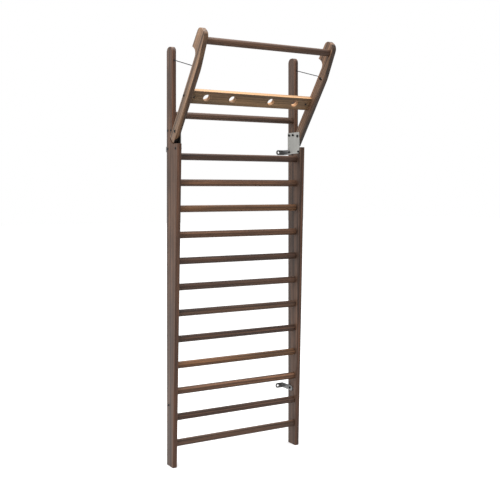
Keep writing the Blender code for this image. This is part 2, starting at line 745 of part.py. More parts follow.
def make_wall_brackets(parts, cutters, steel):
    for side, sign in SIDES:
        under_plate = POST_INNER_X + TOUCH_GAP + BRACKET_THICKNESS
        on_post = POST_INNER_X - TOUCH_GAP
        places = (
            ("upper", LOWER_BOLTS, under_plate, BOLT_INSET),
            ("lower", lower_bracket_height(), on_post, LOWER_BRACKET_BOLT_INSET),
        )
        for level, z, face_x, bolt_inset in places:
            name = f"{side}_{level}_bracket"
            outline = bracket_outline(sign * face_x, sign, bolt_inset)
            frame = Matrix.Translation((0, 0, z))
            bracket = flat_piece(name, outline, BRACKET_WIDTH, frame, parts, steel)
            round_strap_ends(bracket.data)
            cuts = new_collection(f"{name}_cutters", cutters)
            radius = BOLT_DIAMETER / 2 + HOLE_CLEARANCE
            place = along_x(sign * face_x, -(WALL_GAP + bolt_inset), z, 1)
            drill(f"{name}_bolt_hole", radius, 2 * THROUGH, place, cuts)
            hole_x = sign * (face_x - BRACKET_ON_WALL + WALL_SCREW_FROM_END)
            lie = Matrix.Rotation(math.pi / 2, 4, "X")
            place = Matrix.Translation((hole_x, 0, z)) @ lie
            drill(f"{name}_screw_hole", WALL_SCREW_HOLE / 2, 2 * THROUGH, place, cuts)
            cut_with(bracket, cuts)


def bolt_profile(shank_radius, head_radius, length):
    """Button head above z = 0, shank below it."""
    return [
        (0, BOLT_HEAD_HEIGHT),
        (head_radius * 0.55, BOLT_HEAD_HEIGHT * 0.9),
        (head_radius, BOLT_HEAD_HEIGHT * 0.35),
        (head_radius, 0),
        (shank_radius, 0),
        (shank_radius, -length),
        (0, -length),
    ]


def nut_profile(bore_radius, outer_radius):
    """Cap nut: its dome above, its blind bore open at z = 0."""
    return [
        (0, NUT_HEIGHT),
        (outer_radius * 0.55, NUT_HEIGHT - NUT_CAP * 0.4),
        (outer_radius, NUT_HEIGHT * 0.6),
        (outer_radius, 0),
        (bore_radius, 0),
        (bore_radius, NUT_HEIGHT - NUT_CAP),
        (0, NUT_HEIGHT - NUT_CAP),
    ]


def make_bolt_and_nut(label, side, sign, y, z, stack, radius, head_radius, parts, steel):
    """A through bolt from the outer face, and its cap nut on the inner side of the stack."""
    outer = POST_OUTER_X + TOUCH_GAP
    nut_base = POST_OUTER_X - stack - TOUCH_GAP
    length = outer - nut_base + NUT_HEIGHT - NUT_CAP - TOUCH_GAP
    head = along_x(sign * outer, y, z, sign)
    turned_piece(
        f"{side}_{label}_bolt", bolt_profile(radius, head_radius, length), SMALL_STEPS, head, parts, steel
    )
    cap = along_x(sign * nut_base, y, z, -sign)
    bore = radius + HOLE_CLEARANCE
    turned_piece(f"{side}_{label}_nut", nut_profile(bore, head_radius), SMALL_STEPS, cap, parts, steel)


def make_post_fasteners(parts, steel):
    plate_stack = BOARD_STOCK + TOUCH_GAP + PLATE_THICKNESS
    bracket_stack = BOARD_STOCK + TOUCH_GAP + BRACKET_THICKNESS
    small, head = BOLT_DIAMETER / 2, BOLT_HEAD_DIAMETER / 2
    pivot, pivot_head = PIVOT_BOLT_DIAMETER / 2, PIVOT_HEAD_DIAMETER / 2
    for side, sign in SIDES:
        for label, y, z in plate_bolt_places():
            make_bolt_and_nut(label, side, sign, y, z, plate_stack, small, head, parts, steel)
        y = -(WALL_GAP + LOWER_BRACKET_BOLT_INSET)
        z = lower_bracket_height()
        make_bolt_and_nut(
            "lower_bracket", side, sign, y, z, bracket_stack, small, head, parts, steel
        )
        make_bolt_and_nut(
            "pivot", side, sign, PIVOT_Y, PIVOT_Z, plate_stack, pivot, pivot_head, parts, steel
        )


def make_board_fasteners(parts, cutters, steel, hinge):
    head = BOLT_HEAD_DIAMETER / 2
    shank = BOARD_BOLT_DIAMETER / 2
    length = BOARD_STOCK + BARREL_FROM_END + BOARD_BOLT_PAST_BARREL
    for side, sign in SIDES:
        place = arm_point(sign * (POST_OUTER_X + TOUCH_GAP), BOARD_MIDDLE, board_bolt_set())
        bolt = turned_piece(
            f"{side}_board_bolt",
            bolt_profile(shank, head, length),
            SMALL_STEPS,
            along_x(*place, sign),
            parts,
            steel,
        )
        parent_to(bolt, hinge)
        barrel_x = sign * (POST_INNER_X - BARREL_FROM_END)
        radius = BARREL_DIAMETER / 2
        profile = [
            (0, BARREL_LENGTH),
            (radius, BARREL_LENGTH),
            (radius, 0),
            (0, 0),
        ]
        front_w = -PIVOT_TO_BACK + BOARD_STOCK
        towards_front = Matrix.Rotation(-math.pi / 2, 4, "X")
        base_w = front_w - BARREL_LENGTH
        frame = arm_frame() @ Matrix.Translation((BOARD_MIDDLE, base_w, barrel_x))
        barrel = turned_piece(
            f"{side}_barrel_nut", profile, SMALL_STEPS, frame @ towards_front, parts, steel
        )
        cuts = new_collection(f"{side}_barrel_nut_cutters", cutters)
        place = arm_point(barrel_x, BOARD_MIDDLE, board_bolt_set())
        bore = shank + HOLE_CLEARANCE
        drill(f"{side}_barrel_cross_hole", bore, 2 * THROUGH, along_x(*place, 1), cuts)
        cut_with(barrel, cuts)
        parent_to(barrel, hinge)


# ---------------------------------------------------------------- stay ropes


def rope_corners(x):
    """The rope's line: back of the post, its turn in the post, its turn in the arm, its end."""
    z = rope_height()
    start = Vector((x, -WALL_GAP - ROPE_TAIL, z))
    post_turn = Vector((x, -(WALL_GAP + TOP_DEPTH - ROPE_BEND_DEPTH), z))
    arm_turn = arm_point(x, ROPE_ON_ARM, -PIVOT_TO_BACK + ROPE_BEND_DEPTH)
    end = arm_point(x, ROPE_ON_ARM, rope_end_w())
    return [start, post_turn, arm_turn, end]


def rope_end_w():
    """w of the rope's cut end, past its stop in the arm's pocket."""
    return stop_start_w() + STOP_LENGTH + ROPE_TAIL


def bent_line(corners, radius, spacing):
    """Points about this far apart along straight runs joined by arcs of this radius."""
    points = [corners[0]]

    def run_to(target):
        start = points[-1].copy()
        count = max(1, round((target - start).length / spacing))
        for i in range(1, count + 1):
            points.append(start.lerp(target, i / count))

    for before, corner, after in zip(corners, corners[1:], corners[2:]):
        back = (before - corner).normalized()
        ahead = (after - corner).normalized()
        half = back.angle(ahead) / 2
        center = corner + (back + ahead).normalized() * radius / math.sin(half)
        first = corner + back * radius / math.tan(half)
        last = corner + ahead * radius / math.tan(half)
        run_to(first)
        turn = math.pi - 2 * half
        steps = max(2, math.ceil(turn / math.radians(6)))
        for i in range(1, steps + 1):
            outward = (first - center).slerp(last - center, i / steps)
            points.append(center + outward * radius)
    run_to(corners[-1])
    return points


def make_stay_ropes(parts, wire, sleeve, hinge):
    stop_radius = STOP_DIAMETER / 2
    bore = ROPE_DIAMETER / 2 + HOLE_CLEARANCE
    ring = [(stop_radius, STOP_LENGTH), (stop_radius, 0), (bore, 0), (bore, STOP_LENGTH)]
    for side, sign in SIDES:
        x = sign * POST_MIDDLE_X
        curve = bpy.data.curves.new(f"{side}_stay_rope", "CURVE")
        curve.dimensions = "3D"
        curve.bevel_depth = ROPE_DIAMETER / 2
        curve.bevel_resolution = 2
        curve.use_fill_caps = True
        points = bent_line(rope_corners(x), ROPE_BEND_RADIUS, 3 * ROPE_DIAMETER)
        spline = curve.splines.new("POLY")
        spline.points.add(len(points) - 1)
        for point, place in zip(spline.points, points):
            point.co = (*place, 1)
        rope = bpy.data.objects.new(f"{side}_stay_rope", curve)
        curve.materials.append(wire)
        parts.objects.link(rope)

        # Stops: one in the recess behind the post, one in the arm's pocket
        recess_floor = -(WALL_GAP + STOP_RECESS_DEPTH) + TOUCH_GAP
        place = Matrix.Translation((x, recess_floor, rope_height()))
        rear = place @ Matrix.Rotation(-math.pi / 2, 4, "X")
        name = f"{side}_post_rope_stop"
        turned_piece(name, ring, SMALL_STEPS, rear, parts, sleeve, closed=True)
        frame = Matrix.Translation((x, 0, 0)) @ arm_frame()
        place = frame @ Matrix.Translation((ROPE_ON_ARM, stop_start_w(), 0))
        front = place @ Matrix.Rotation(-math.pi / 2, 4, "X")
        name = f"{side}_arm_rope_stop"
        stop = turned_piece(name, ring, SMALL_STEPS, front, parts, sleeve, closed=True)
        parent_to(stop, hinge)


# ---------------------------------------------------------------- build


def clear_scene():
    for obj in list(bpy.data.objects):
        bpy.data.objects.remove(obj, do_unlink=True)


def main():
    clear_scene()
    parts = new_collection("wall_bars")
    cutters = new_collection("cutters")
    walnut = material("walnut", (0.135, 0.075, 0.045), 0.55)
    plate_steel = material("plate_steel", (0.52, 0.52, 0.50), 0.45, 0.8)
    bracket_steel = material("bracket_steel", (0.22, 0.22, 0.22), 0.5, 0.8)
    black_steel = material("black_steel", (0.012, 0.012, 0.012), 0.45, 0.6)
    wire = material("wire_rope", (0.25, 0.26, 0.26), 0.4, 0.9)

    hinge = bpy.data.objects.new("pull_up_hinge", None)
    parts.objects.link(hinge)
    hinge.location = (0, PIVOT_Y, PIVOT_Z)
    bpy.context.view_layer.update()

    make_posts(parts, cutters, walnut)
    make_rungs(parts, walnut)
    make_arms(parts, cutters, walnut, hinge)
    make_cross_board(parts, cutters, walnut, hinge)
    make_pull_up_bar(parts, walnut, hinge)
    make_hinge_plates(parts, cutters, plate_steel)
    make_wall_brackets(parts, cutters, bracket_steel)
    make_post_fasteners(parts, black_steel)
    make_board_fasteners(parts, cutters, black_steel, hinge)
    make_stay_ropes(parts, wire, bracket_steel, hinge)
    bpy.context.view_layer.update()


main()
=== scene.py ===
"""Looks for the wall bars with a folding pull-up frame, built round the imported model.

Metres, in the model's own frame: the wall is the plane Y = 0, the room is towards -Y, +Z is up.
"""

import math

import bmesh
import bpy
from mathutils import Matrix, Vector


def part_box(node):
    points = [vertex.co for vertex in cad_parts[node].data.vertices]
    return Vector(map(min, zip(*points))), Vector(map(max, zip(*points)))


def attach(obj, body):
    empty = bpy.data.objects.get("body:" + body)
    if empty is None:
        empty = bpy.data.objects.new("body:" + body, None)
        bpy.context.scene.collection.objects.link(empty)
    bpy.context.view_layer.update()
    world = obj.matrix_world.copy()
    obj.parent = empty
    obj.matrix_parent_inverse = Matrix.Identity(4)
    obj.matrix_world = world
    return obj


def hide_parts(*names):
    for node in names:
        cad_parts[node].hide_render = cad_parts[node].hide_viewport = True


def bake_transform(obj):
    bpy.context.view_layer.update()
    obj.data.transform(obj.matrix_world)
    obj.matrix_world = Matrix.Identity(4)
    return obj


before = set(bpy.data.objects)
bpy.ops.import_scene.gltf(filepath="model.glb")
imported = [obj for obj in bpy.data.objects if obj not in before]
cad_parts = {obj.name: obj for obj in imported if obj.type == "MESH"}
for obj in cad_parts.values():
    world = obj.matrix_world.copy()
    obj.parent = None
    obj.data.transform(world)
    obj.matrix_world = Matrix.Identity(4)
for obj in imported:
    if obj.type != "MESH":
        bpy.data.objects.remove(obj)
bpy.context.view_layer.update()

# ---------------------------------------------------------------- sizes, as the model has them

POST_HEIGHT = 2.300
WALL_GAP = 0.060
BOARD_STOCK = 0.026
FOOT_DEPTH = 0.076
TOP_DEPTH = 0.068
STEP_LIP = 0.0136
SLIM_LENGTH = 0.532
POST_TOP_RADIUS = 0.028
OPEN_ANGLE = math.radians(37.0)
PIVOT_ABOVE_STEP = 0.066
PIVOT_TO_BACK = 0.033
PIVOT_TO_FRONT = 0.026
TAIL_ROUND = 0.012
FRONT_BEND_BELOW_HOOK = 0.069
FRONT_BEND_RADIUS = 0.250
HEAD_LENGTH = 0.1225
HEAD_FRONT = -0.0055
HEAD_BACK_FROM_TIP = 0.005
HEAD_FRONT_ROUND = 0.036
HEAD_BACK_ROUND = 0.034
HOOK_SHORT_OF_BACK = 0.014
BOARD_BOTTOM = 0.174
BOARD_WIDTH = 0.078
HAND_HOLE_DIAMETER = 0.040
HAND_HOLES_FROM_END = (0.1046, 0.2635)
FOLD_GAP = 0.003
SWING_GAP = 0.002
PLATE_PAST_PIVOT = 0.019
PLATE_THICKNESS = 0.003
PLATE_BELOW_STEP = 0.036
PLATE_ABOVE_PIVOT = 0.023
PLATE_CHAMFER = 0.008
BOLT_INSET = 0.0145
LOWER_BRACKET_BOLT_INSET = 0.0245
FRONT_BOLT_INSET = 0.0095
MIDDLE_BOLT_INSET = 0.0130
UPPER_BOLTS_INSET = 0.0145
LOWER_BOLTS_INSET = 0.0100
BOLT_HEAD_DIAMETER = 0.0150
PIVOT_HEAD_DIAMETER = 0.0178
BOLT_HEAD_HEIGHT = 0.0038
NUT_HEIGHT = 0.0065
BRACKET_WIDTH = 0.030
BRACKET_THICKNESS = 0.004
BRACKET_PAST_BOLT = 0.0255
BRACKET_ON_WALL = 0.052
BRACKET_BEND_RADIUS = 0.006
WALL_SCREW_HOLE = 0.0120
WALL_SCREW_FROM_END = 0.0155
BARREL_FROM_END = 0.0285
BARREL_DIAMETER = 0.010
BARREL_PAST_BOLT = 0.007
ROPE_DIAMETER = 0.005
ROPE_PLAY = 0.00175
ROPE_BELOW_TOP = 0.075
ROPE_ON_ARM = 0.385
ROPE_BEND_RADIUS = 0.014
ROPE_BEND_DEPTH = 0.003
ROPE_TAIL = 0.003
STOP_DIAMETER = 0.010
STOP_LENGTH = 0.010
STOP_PLAY = 0.0025
ARM_POCKET_FROM_BACK = 0.014
THREADING_ROOM = 0.017
GAP = 0.0003
THROUGH = 0.010
EDGE_ROUND = 0.0022
BOARD_EDGE_ROUND = 0.0018
RUNG_SHOULDER_ROUND = 0.0036
TENON_SMALLER = 0.0062
SHORT_OF_CAD = 0.0002
ON_AXIS = 0.00001
SCREWDRIVER_SLOT = (0.014, 0.0013, 0.003)
BEND_STEPS = 12
ROPE_STRANDS = 6
ROPE_LAY = 0.026
ROPE_POINT_EVERY = 0.0016
ARC_STEP = math.radians(4.0)

post_low, post_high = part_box("right_post")
POST_INNER_X = post_low.x
POST_OUTER_X = post_high.x
POST_MIDDLE_X = (POST_INNER_X + POST_OUTER_X) / 2
STEP_HEIGHT = POST_HEIGHT - SLIM_LENGTH
PIVOT_FROM_BACK = TOP_DEPTH + FOLD_GAP + PIVOT_TO_BACK
PIVOT_Y = -(WALL_GAP + PIVOT_FROM_BACK)
PIVOT_Z = STEP_HEIGHT + PIVOT_ABOVE_STEP
PLATE_DEPTH = PIVOT_FROM_BACK + PLATE_PAST_PIVOT
STEP_DEPTH = PLATE_DEPTH + STEP_LIP
UPPER_BOLTS = PIVOT_Z + PLATE_ABOVE_PIVOT - UPPER_BOLTS_INSET
LOWER_BOLTS = STEP_HEIGHT - PLATE_BELOW_STEP + LOWER_BOLTS_INSET
HOOK_FLAT = POST_HEIGHT - PIVOT_Z + FOLD_GAP
HOOK_REACH = TOP_DEPTH + FOLD_GAP - HOOK_SHORT_OF_BACK
HEAD_BACK = -(PIVOT_TO_BACK + HOOK_REACH - HEAD_BACK_FROM_TIP)
TAIL_REACH = PIVOT_ABOVE_STEP - SWING_GAP - TAIL_ROUND
TAIL_LENGTH = TAIL_ROUND + math.sqrt(TAIL_REACH**2 - (PIVOT_TO_FRONT - TAIL_ROUND) ** 2)
BARREL_LENGTH = BOARD_STOCK / 2 + BARREL_PAST_BOLT
STOP_RECESS_DEPTH = STOP_LENGTH + 2 * ROPE_TAIL
ARM_POCKET_WIDTH = STOP_DIAMETER + 2 * STOP_PLAY
ARM_POCKET_LENGTH = STOP_LENGTH + ROPE_TAIL + THREADING_ROOM
ARM_POCKET_DEPTH = BOARD_STOCK / 2 + STOP_DIAMETER / 2 + STOP_PLAY
BOARD_MIDDLE = BOARD_BOTTOM + BOARD_WIDTH / 2
BOARD_SET = -PIVOT_TO_BACK + BOARD_STOCK / 2
SIDES = (("left", -1), ("right", 1))
BODY, FRAME = "wall_bars", "pull_up_frame"

# ---------------------------------------------------------------- places and frames


ARM_UP = Vector((0, -math.sin(OPEN_ANGLE), math.cos(OPEN_ANGLE)))
ARM_FORWARD = Vector((0, -math.cos(OPEN_ANGLE), -math.sin(OPEN_ANGLE)))
LIE_DOWN = Matrix.Rotation(math.pi / 2, 4, "X")


def arm_point(x, s, w):
    """The world place that is s up the arm and w forwards from its pivot."""
    y = PIVOT_Y - s * math.sin(OPEN_ANGLE) - w * math.cos(OPEN_ANGLE)
    z = PIVOT_Z + s * math.cos(OPEN_ANGLE) - w * math.sin(OPEN_ANGLE)
    return Vector((x, y, z))


def arm_frame():
    """X up the arms, Y forwards out of their front faces, Z along the world's X."""
    turn = Matrix((ARM_UP, ARM_FORWARD, ARM_UP.cross(ARM_FORWARD))).transposed().to_4x4()
    return Matrix.Translation((0, PIVOT_Y, PIVOT_Z)) @ turn


def side_frame(x):
    """X along the world's Y, Y up and Z along the world's X, for outlines seen from the side."""
    turn = Matrix(((0, 0, 1), (1, 0, 0), (0, 1, 0))).to_4x4()
    return Matrix.Translation((x, 0, 0)) @ turn


def along_x(place, direction=1):
    return Matrix.Translation(place) @ Matrix.Rotation(direction * math.pi / 2, 4, "Y")


def middle(node):
    low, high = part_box(node)
    return (low + high) / 2


# ---------------------------------------------------------------- shader node helpers


def new_material(name):
    made = bpy.data.materials.new(name)
    made.use_nodes = True
    nodes = made.node_tree.nodes
    return made, nodes, made.node_tree.links, nodes["Principled BSDF"]


def math_node(nodes, links, operation, a, b=None, clamp=False):
    node = nodes.new("ShaderNodeMath")
    node.operation = operation
    node.use_clamp = clamp
    for socket, value in zip(node.inputs, (a, b)):
        if value is None:
            continue
        if isinstance(value, (int, float)):
            socket.default_value = value
        else:
            links.new(value, socket)
    return node.outputs[0]


def noise_node(nodes, links, vector, scale, detail=3.0, roughness=0.5, distortion=0.0):
    node = nodes.new("ShaderNodeTexNoise")
    node.inputs["Scale"].default_value = scale
    node.inputs["Detail"].default_value = detail
    node.inputs["Roughness"].default_value = roughness
    node.inputs["Distortion"].default_value = distortion
    links.new(vector, node.inputs["Vector"])
    return node.outputs["Fac"]


def stretched(nodes, links, vector, scale, offset=(0, 0, 0)):
    node = nodes.new("ShaderNodeMapping")
    node.inputs["Scale"].default_value = scale
    node.inputs["Location"].default_value = offset
    links.new(vector, node.inputs["Vector"])
    return node.outputs[0]


def ramp_node(nodes, links, value, stops):
    node = nodes.new("ShaderNodeValToRGB")
    ramp = node.color_ramp
    ramp.elements[0].position, ramp.elements[0].color = stops[0][0], (*stops[0][1], 1)
    ramp.elements[1].position, ramp.elements[1].color = stops[-1][0], (*stops[-1][1], 1)
    for position, color in stops[1:-1]:
        ramp.elements.new(position).color = (*color, 1)
    links.new(value, node.inputs[0])
    return node.outputs[0]


def mix_color(nodes, links, kind, factor, a, b):
    node = nodes.new("ShaderNodeMix")
    node.data_type = "RGBA"
    node.blend_type = kind
    for socket, value in ((node.inputs[0], factor), (node.inputs[6], a), (node.inputs[7], b)):
        if isinstance(value, (int, float)):
            socket.default_value = value
        elif isinstance(value, tuple):
            socket.default_value = (*value, 1)
        else:
            links.new(value, socket)
    return node.outputs[2]


def scaled(color, k):
    return tuple(min(1.0, channel * k) for channel in color)


# ---------------------------------------------------------------- materials

WALNUT = (0.128, 0.076, 0.053)
WALNUT_WARM = (0.205, 0.108, 0.058)
WALNUT_DARK = (0.084, 0.048, 0.034)
WALNUT_BROWN = (0.148, 0.080, 0.050)
# Darker, redder copy of the posts' walnut for their front faces: painted shade
WALNUT_FRONT_PAINTED_SHADE = (0.118, 0.062, 0.041)
ARM_FACES = ((0.232, 0.150, 0.100), (0.185, 0.112, 0.072))
# Copies of the arms' walnut for their front faces, the right arm's much darker: painted shade
ARM_FRONTS_PAINTED_SHADE = ((0.185, 0.112, 0.070), (0.070, 0.046, 0.034))
BOARD_FACES = (0.330, 0.220, 0.132)
# Unstained, paler wood for the board's top edge and hand-hole walls, lighter still as painted
# light from above
BARE_WOOD_AND_PAINTED_LIGHT = (0.58, 0.355, 0.19)
# Near black, for painted shade on the arms' tails below the pivot and on the plates' faces towards
# the arms
PAINTED_SHADE_BLACK = (0.008, 0.007, 0.006)
ZINC = (0.43, 0.425, 0.40)
GALVANISED = (0.20, 0.20, 0.20)
BLACK_OXIDE = (0.007, 0.007, 0.008)
DARK_WIRE = (0.022, 0.023, 0.025)
TAIL_SHADE_FROM = 0.032
TAIL_SHADE_TO = 0.024
TAIL_SHADE_SLANT = 0.8
EDGE_PITH = (0.2, 0.05)
RINGS_PER_METRE = 105.0


def along_x_axis(nodes, links, coordinates, axis):
    """Turns the coordinates so that the grain, along "X", "Z" or the arms' length "S", is on X."""
    if axis == "S":
        tip = nodes.new("ShaderNodeMapping")
        tip.inputs["Rotation"].default_value = (-OPEN_ANGLE, 0, 0)
        links.new(coordinates, tip.inputs["Vector"])
        coordinates = tip.outputs[0]
    turn = nodes.new("ShaderNodeMapping")
    turn.inputs["Rotation"].default_value = (0, 0 if axis == "X" else math.pi / 2, 0)
    links.new(coordinates, turn.inputs["Vector"])
    return turn.outputs[0]


def painted_tail_shade(nodes, links, coordinates, color, side):
    """Painted shade: almost black below the pivot, along a line that slants down towards the
    outside.
    """
    along = nodes.new("ShaderNodeVectorMath")
    along.operation = "DOT_PRODUCT"
    links.new(coordinates, along.inputs[0])
    along.inputs[1].default_value = (TAIL_SHADE_SLANT * side, ARM_UP.y, ARM_UP.z)
    zero = TAIL_SHADE_SLANT * POST_MIDDLE_X + ARM_UP.y * PIVOT_Y + ARM_UP.z * PIVOT_Z
    tail = nodes.new("ShaderNodeMapRange")
    tail.interpolation_type = "SMOOTHSTEP"
    tail.inputs["From Min"].default_value = zero - TAIL_SHADE_FROM
    tail.inputs["From Max"].default_value = zero - TAIL_SHADE_TO
    links.new(along.outputs["Value"], tail.inputs["Value"])
    return mix_color(nodes, links, "MIX", tail.outputs[0], PAINTED_SHADE_BLACK, color)


def wood(name, axis, color, seed, pith=(0.05, -0.11), contrast=1.0, tail_shade_side=0):
    """Oiled walnut with its grain along "X", "Z" or the arms' length "S".

    Growth rings come from the distance to a pith line outside the piece, bent by slow noise, so
    flat faces show long streaks. Fibres and open pores are fine noise drawn out along the grain.
    The last argument is 0, or the side (-1 or 1) of the arm whose front face gets painted shade,
    near black, below the pivot.
    """
    made, nodes, links, shader = new_material(name)
    coordinates = nodes.new("ShaderNodeTexCoord").outputs["Object"]
    turned_along = along_x_axis(nodes, links, coordinates, axis)
    offset = (seed * 1.7, seed * 0.31, seed * 0.23)
    grain = stretched(nodes, links, turned_along, (1, 1, 1), offset)

    slow = noise_node(nodes, links, stretched(nodes, links, grain, (1.1, 7, 7)), 1.0, 2.0)
    wander = noise_node(nodes, links, stretched(nodes, links, grain, (3.5, 24, 24)), 1.0, 3.0)
    split = nodes.new("ShaderNodeSeparateXYZ")
    links.new(turned_along, split.inputs[0])
    y = math_node(nodes, links, "ADD", split.outputs[1], pith[0])
    z = math_node(nodes, links, "ADD", split.outputs[2], pith[1] + seed * 0.003)
    y = math_node(nodes, links, "ADD", y, math_node(nodes, links, "MULTIPLY", slow, 0.055))
    z = math_node(nodes, links, "ADD", z, math_node(nodes, links, "MULTIPLY", wander, 0.008))
    y_squared = math_node(nodes, links, "MULTIPLY", y, y)
    z_squared = math_node(nodes, links, "MULTIPLY", z, z)
    radius = math_node(nodes, links, "SQRT", math_node(nodes, links, "ADD", y_squared, z_squared))
    rings = nodes.new("ShaderNodeTexNoise")
    rings.noise_dimensions = "1D"
    rings.inputs["Scale"].default_value = 1.0
    rings.inputs["Detail"].default_value = 4.0
    rings.inputs["Roughness"].default_value = 0.62
    links.new(math_node(nodes, links, "MULTIPLY", radius, RINGS_PER_METRE), rings.inputs["W"])

    fibre = noise_node(nodes, links, stretched(nodes, links, grain, (10, 520, 520)), 1.0, 3.0, 0.6)
    pores = noise_node(nodes, links, stretched(nodes, links, grain, (34, 1500, 1500)), 1.0, 1.0)
    pore = ramp_node(nodes, links, pores, [(0.60, (0, 0, 0)), (0.70, (1, 1, 1))])
    cloud = noise_node(nodes, links, stretched(nodes, links, grain, (2.2, 14, 14)), 1.0, 3.0, 0.55)

    low, high = 0.5 - 0.17 / contrast, 0.5 + 0.17 / contrast
    streaks = ramp_node(
        nodes,
        links,
        rings.outputs["Fac"],
        [
            (max(0.0, low), scaled(color, 0.42)),
            (0.46, scaled(color, 0.86)),
            (0.56, scaled(color, 1.12)),
            (min(1.0, high), scaled(color, 1.56)),
        ],
    )
    bands = noise_node(nodes, links, stretched(nodes, links, grain, (0.9, 62, 62)), 1.0, 4.0, 0.62)
    toned = streaks
    for value, share, dark, light in (
        (cloud, 1.0, (0.34, (0.78, 0.80, 0.83)), (0.66, (1.20, 1.12, 1.04))),
        (bands, 1.0, (0.36, (0.54, 0.52, 0.52)), (0.64, (1.50, 1.46, 1.38))),
        (fibre, 0.75, (0.33, (0.72, 0.72, 0.72)), (0.68, (1.16, 1.15, 1.13))),
    ):
        tint = ramp_node(nodes, links, value, [dark, light])
        toned = mix_color(nodes, links, "MULTIPLY", share, toned, tint)
    pore_share = math_node(nodes, links, "MULTIPLY", pore, 0.55)
    toned = mix_color(nodes, links, "MIX", pore_share, toned, scaled(color, 0.28))
    # Painted shade, near black, on the arm's front face below the pivot
    if tail_shade_side:
        toned = painted_tail_shade(nodes, links, coordinates, toned, tail_shade_side)
    links.new(toned, shader.inputs["Base Color"])

    rough = nodes.new("ShaderNodeMapRange")
    rough.inputs["To Min"].default_value = 0.44
    rough.inputs["To Max"].default_value = 0.62
    links.new(fibre, rough.inputs["Value"])
    links.new(rough.outputs[0], shader.inputs["Roughness"])
    ridges = math_node(nodes, links, "MULTIPLY", fibre, 0.5)
    height = math_node(nodes, links, "SUBTRACT", ridges, pore)
    bump = nodes.new("ShaderNodeBump")
    bump.inputs["Strength"].default_value = 0.30
    bump.inputs["Distance"].default_value = 0.00035
    links.new(height, bump.inputs["Height"])
    links.new(bump.outputs[0], shader.inputs["Normal"])
    shader.inputs["Specular IOR Level"].default_value = 0.32
    return made


def metal(
    name, color, roughness, metallic, grain=(1, 1, 1), spread=0.08, scale=260, gloss=0.5
):
    """Metal with fine mottled or drawn-out grain in its colour, gloss and surface."""
    made, nodes, links, shader = new_material(name)
    coordinates = nodes.new("ShaderNodeTexCoord").outputs["Object"]
    drawn = stretched(nodes, links, coordinates, grain)
    fine = noise_node(nodes, links, drawn, scale, 4.0, 0.62)
    broad = noise_node(nodes, links, drawn, scale / 14, 3.0, 0.5)
    fine_share = math_node(nodes, links, "MULTIPLY", fine, 0.55)
    broad_share = math_node(nodes, links, "MULTIPLY", broad, 0.45)
    both = math_node(nodes, links, "ADD", fine_share, broad_share)
    dark, light = scaled(color, 1 - 2.2 * spread), scaled(color, 1 + 1.6 * spread)
    tone = ramp_node(nodes, links, both, [(0.34, dark), (0.64, light)])
    links.new(tone, shader.inputs["Base Color"])
    rough = nodes.new("ShaderNodeMapRange")
    rough.inputs["From Min"].default_value = 0.3
    rough.inputs["From Max"].default_value = 0.7
    rough.inputs["To Min"].default_value = roughness - 0.08
    rough.inputs["To Max"].default_value = roughness + 0.10
    links.new(both, rough.inputs["Value"])
    links.new(rough.outputs[0], shader.inputs["Roughness"])
    shader.inputs["Metallic"].default_value = metallic
    shader.inputs["Specular IOR Level"].default_value = gloss
    bump = nodes.new("ShaderNodeBump")
    bump.inputs["Strength"].default_value = 0.35
    bump.inputs["Distance"].default_value = 0.00008
    links.new(fine, bump.inputs["Height"])
    links.new(bump.outputs[0], shader.inputs["Normal"])
    return made


# ---------------------------------------------------------------- shape helpers


def arc(center, radius, start, end, step=ARC_STEP):
    steps = max(2, math.ceil(abs(end - start) / step))
    points = []
    for i in range(steps + 1):
        angle = start + (end - start) * i / steps
        x, y = center[0] + radius * math.cos(angle), center[1] + radius * math.sin(angle)
        points.append((x, y))
    return points


def filleted(corners):
    points = []
    for i, (x, y, radius) in enumerate(corners):
        corner = Vector((x, y))
        if radius == 0:
            points.append((x, y))
            continue
        before = (Vector(corners[i - 1][:2]) - corner).normalized()
        after = (Vector(corners[(i + 1) % len(corners)][:2]) - corner).normalized()
        half = before.angle(after) / 2
        center = corner + (before + after).normalized() * radius / math.sin(half)
        first = corner + before * radius / math.tan(half) - center
        last = corner + after * radius / math.tan(half) - center
        start = math.atan2(first.y, first.x)
        sweep = (math.atan2(last.y, last.x) - start + math.pi) % (2 * math.pi) - math.pi
        points += arc(center, radius, start, start + sweep)
    return points


def new_object(name, mesh, matrix=None):
    made = bpy.data.objects.new(name, mesh)
    bpy.context.scene.collection.objects.link(made)
    if matrix is not None:
        made.matrix_world = matrix
    return made


def dressed(made, material, body, slot, *nodes):
    """Gives a finished piece its material, its body and the model's pieces it stands for."""
    bpy.context.view_layer.update()
    made.data.transform(made.matrix_world)
    made.matrix_world = Matrix.Identity(4)
    made.data.materials.clear()
    made.data.materials.append(material)
    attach(made, body)
    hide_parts(*nodes)
    return made


def prism(name, outline, thickness, matrix):
    """A flat piece: its outline in the matrix's XY plane, half its thickness to each side."""
    mesh = bpy.data.meshes.new(name)
    work = bmesh.new()
    verts = [work.verts.new((x, y, -thickness / 2)) for x, y in outline]
    face = work.faces.new(verts)
    made = bmesh.ops.extrude_face_region(work, geom=[face])["geom"]
    top = [item for item in made if isinstance(item, bmesh.types.BMVert)]
    bmesh.ops.translate(work, verts=top, vec=(0, 0, thickness))
    bmesh.ops.recalc_face_normals(work, faces=work.faces)
    work.to_mesh(mesh)
    work.free()
    return new_object(name, mesh, matrix)


def rim_bevel(made, width, segments=4, angle=38):
    modifier = made.modifiers.new("edges", "BEVEL")
    modifier.width = width
    modifier.segments = segments
    modifier.limit_method = "ANGLE"
    modifier.angle_limit = math.radians(angle)
    modifier.use_clamp_overlap = True
    modifier.harden_normals = False
    return modifier


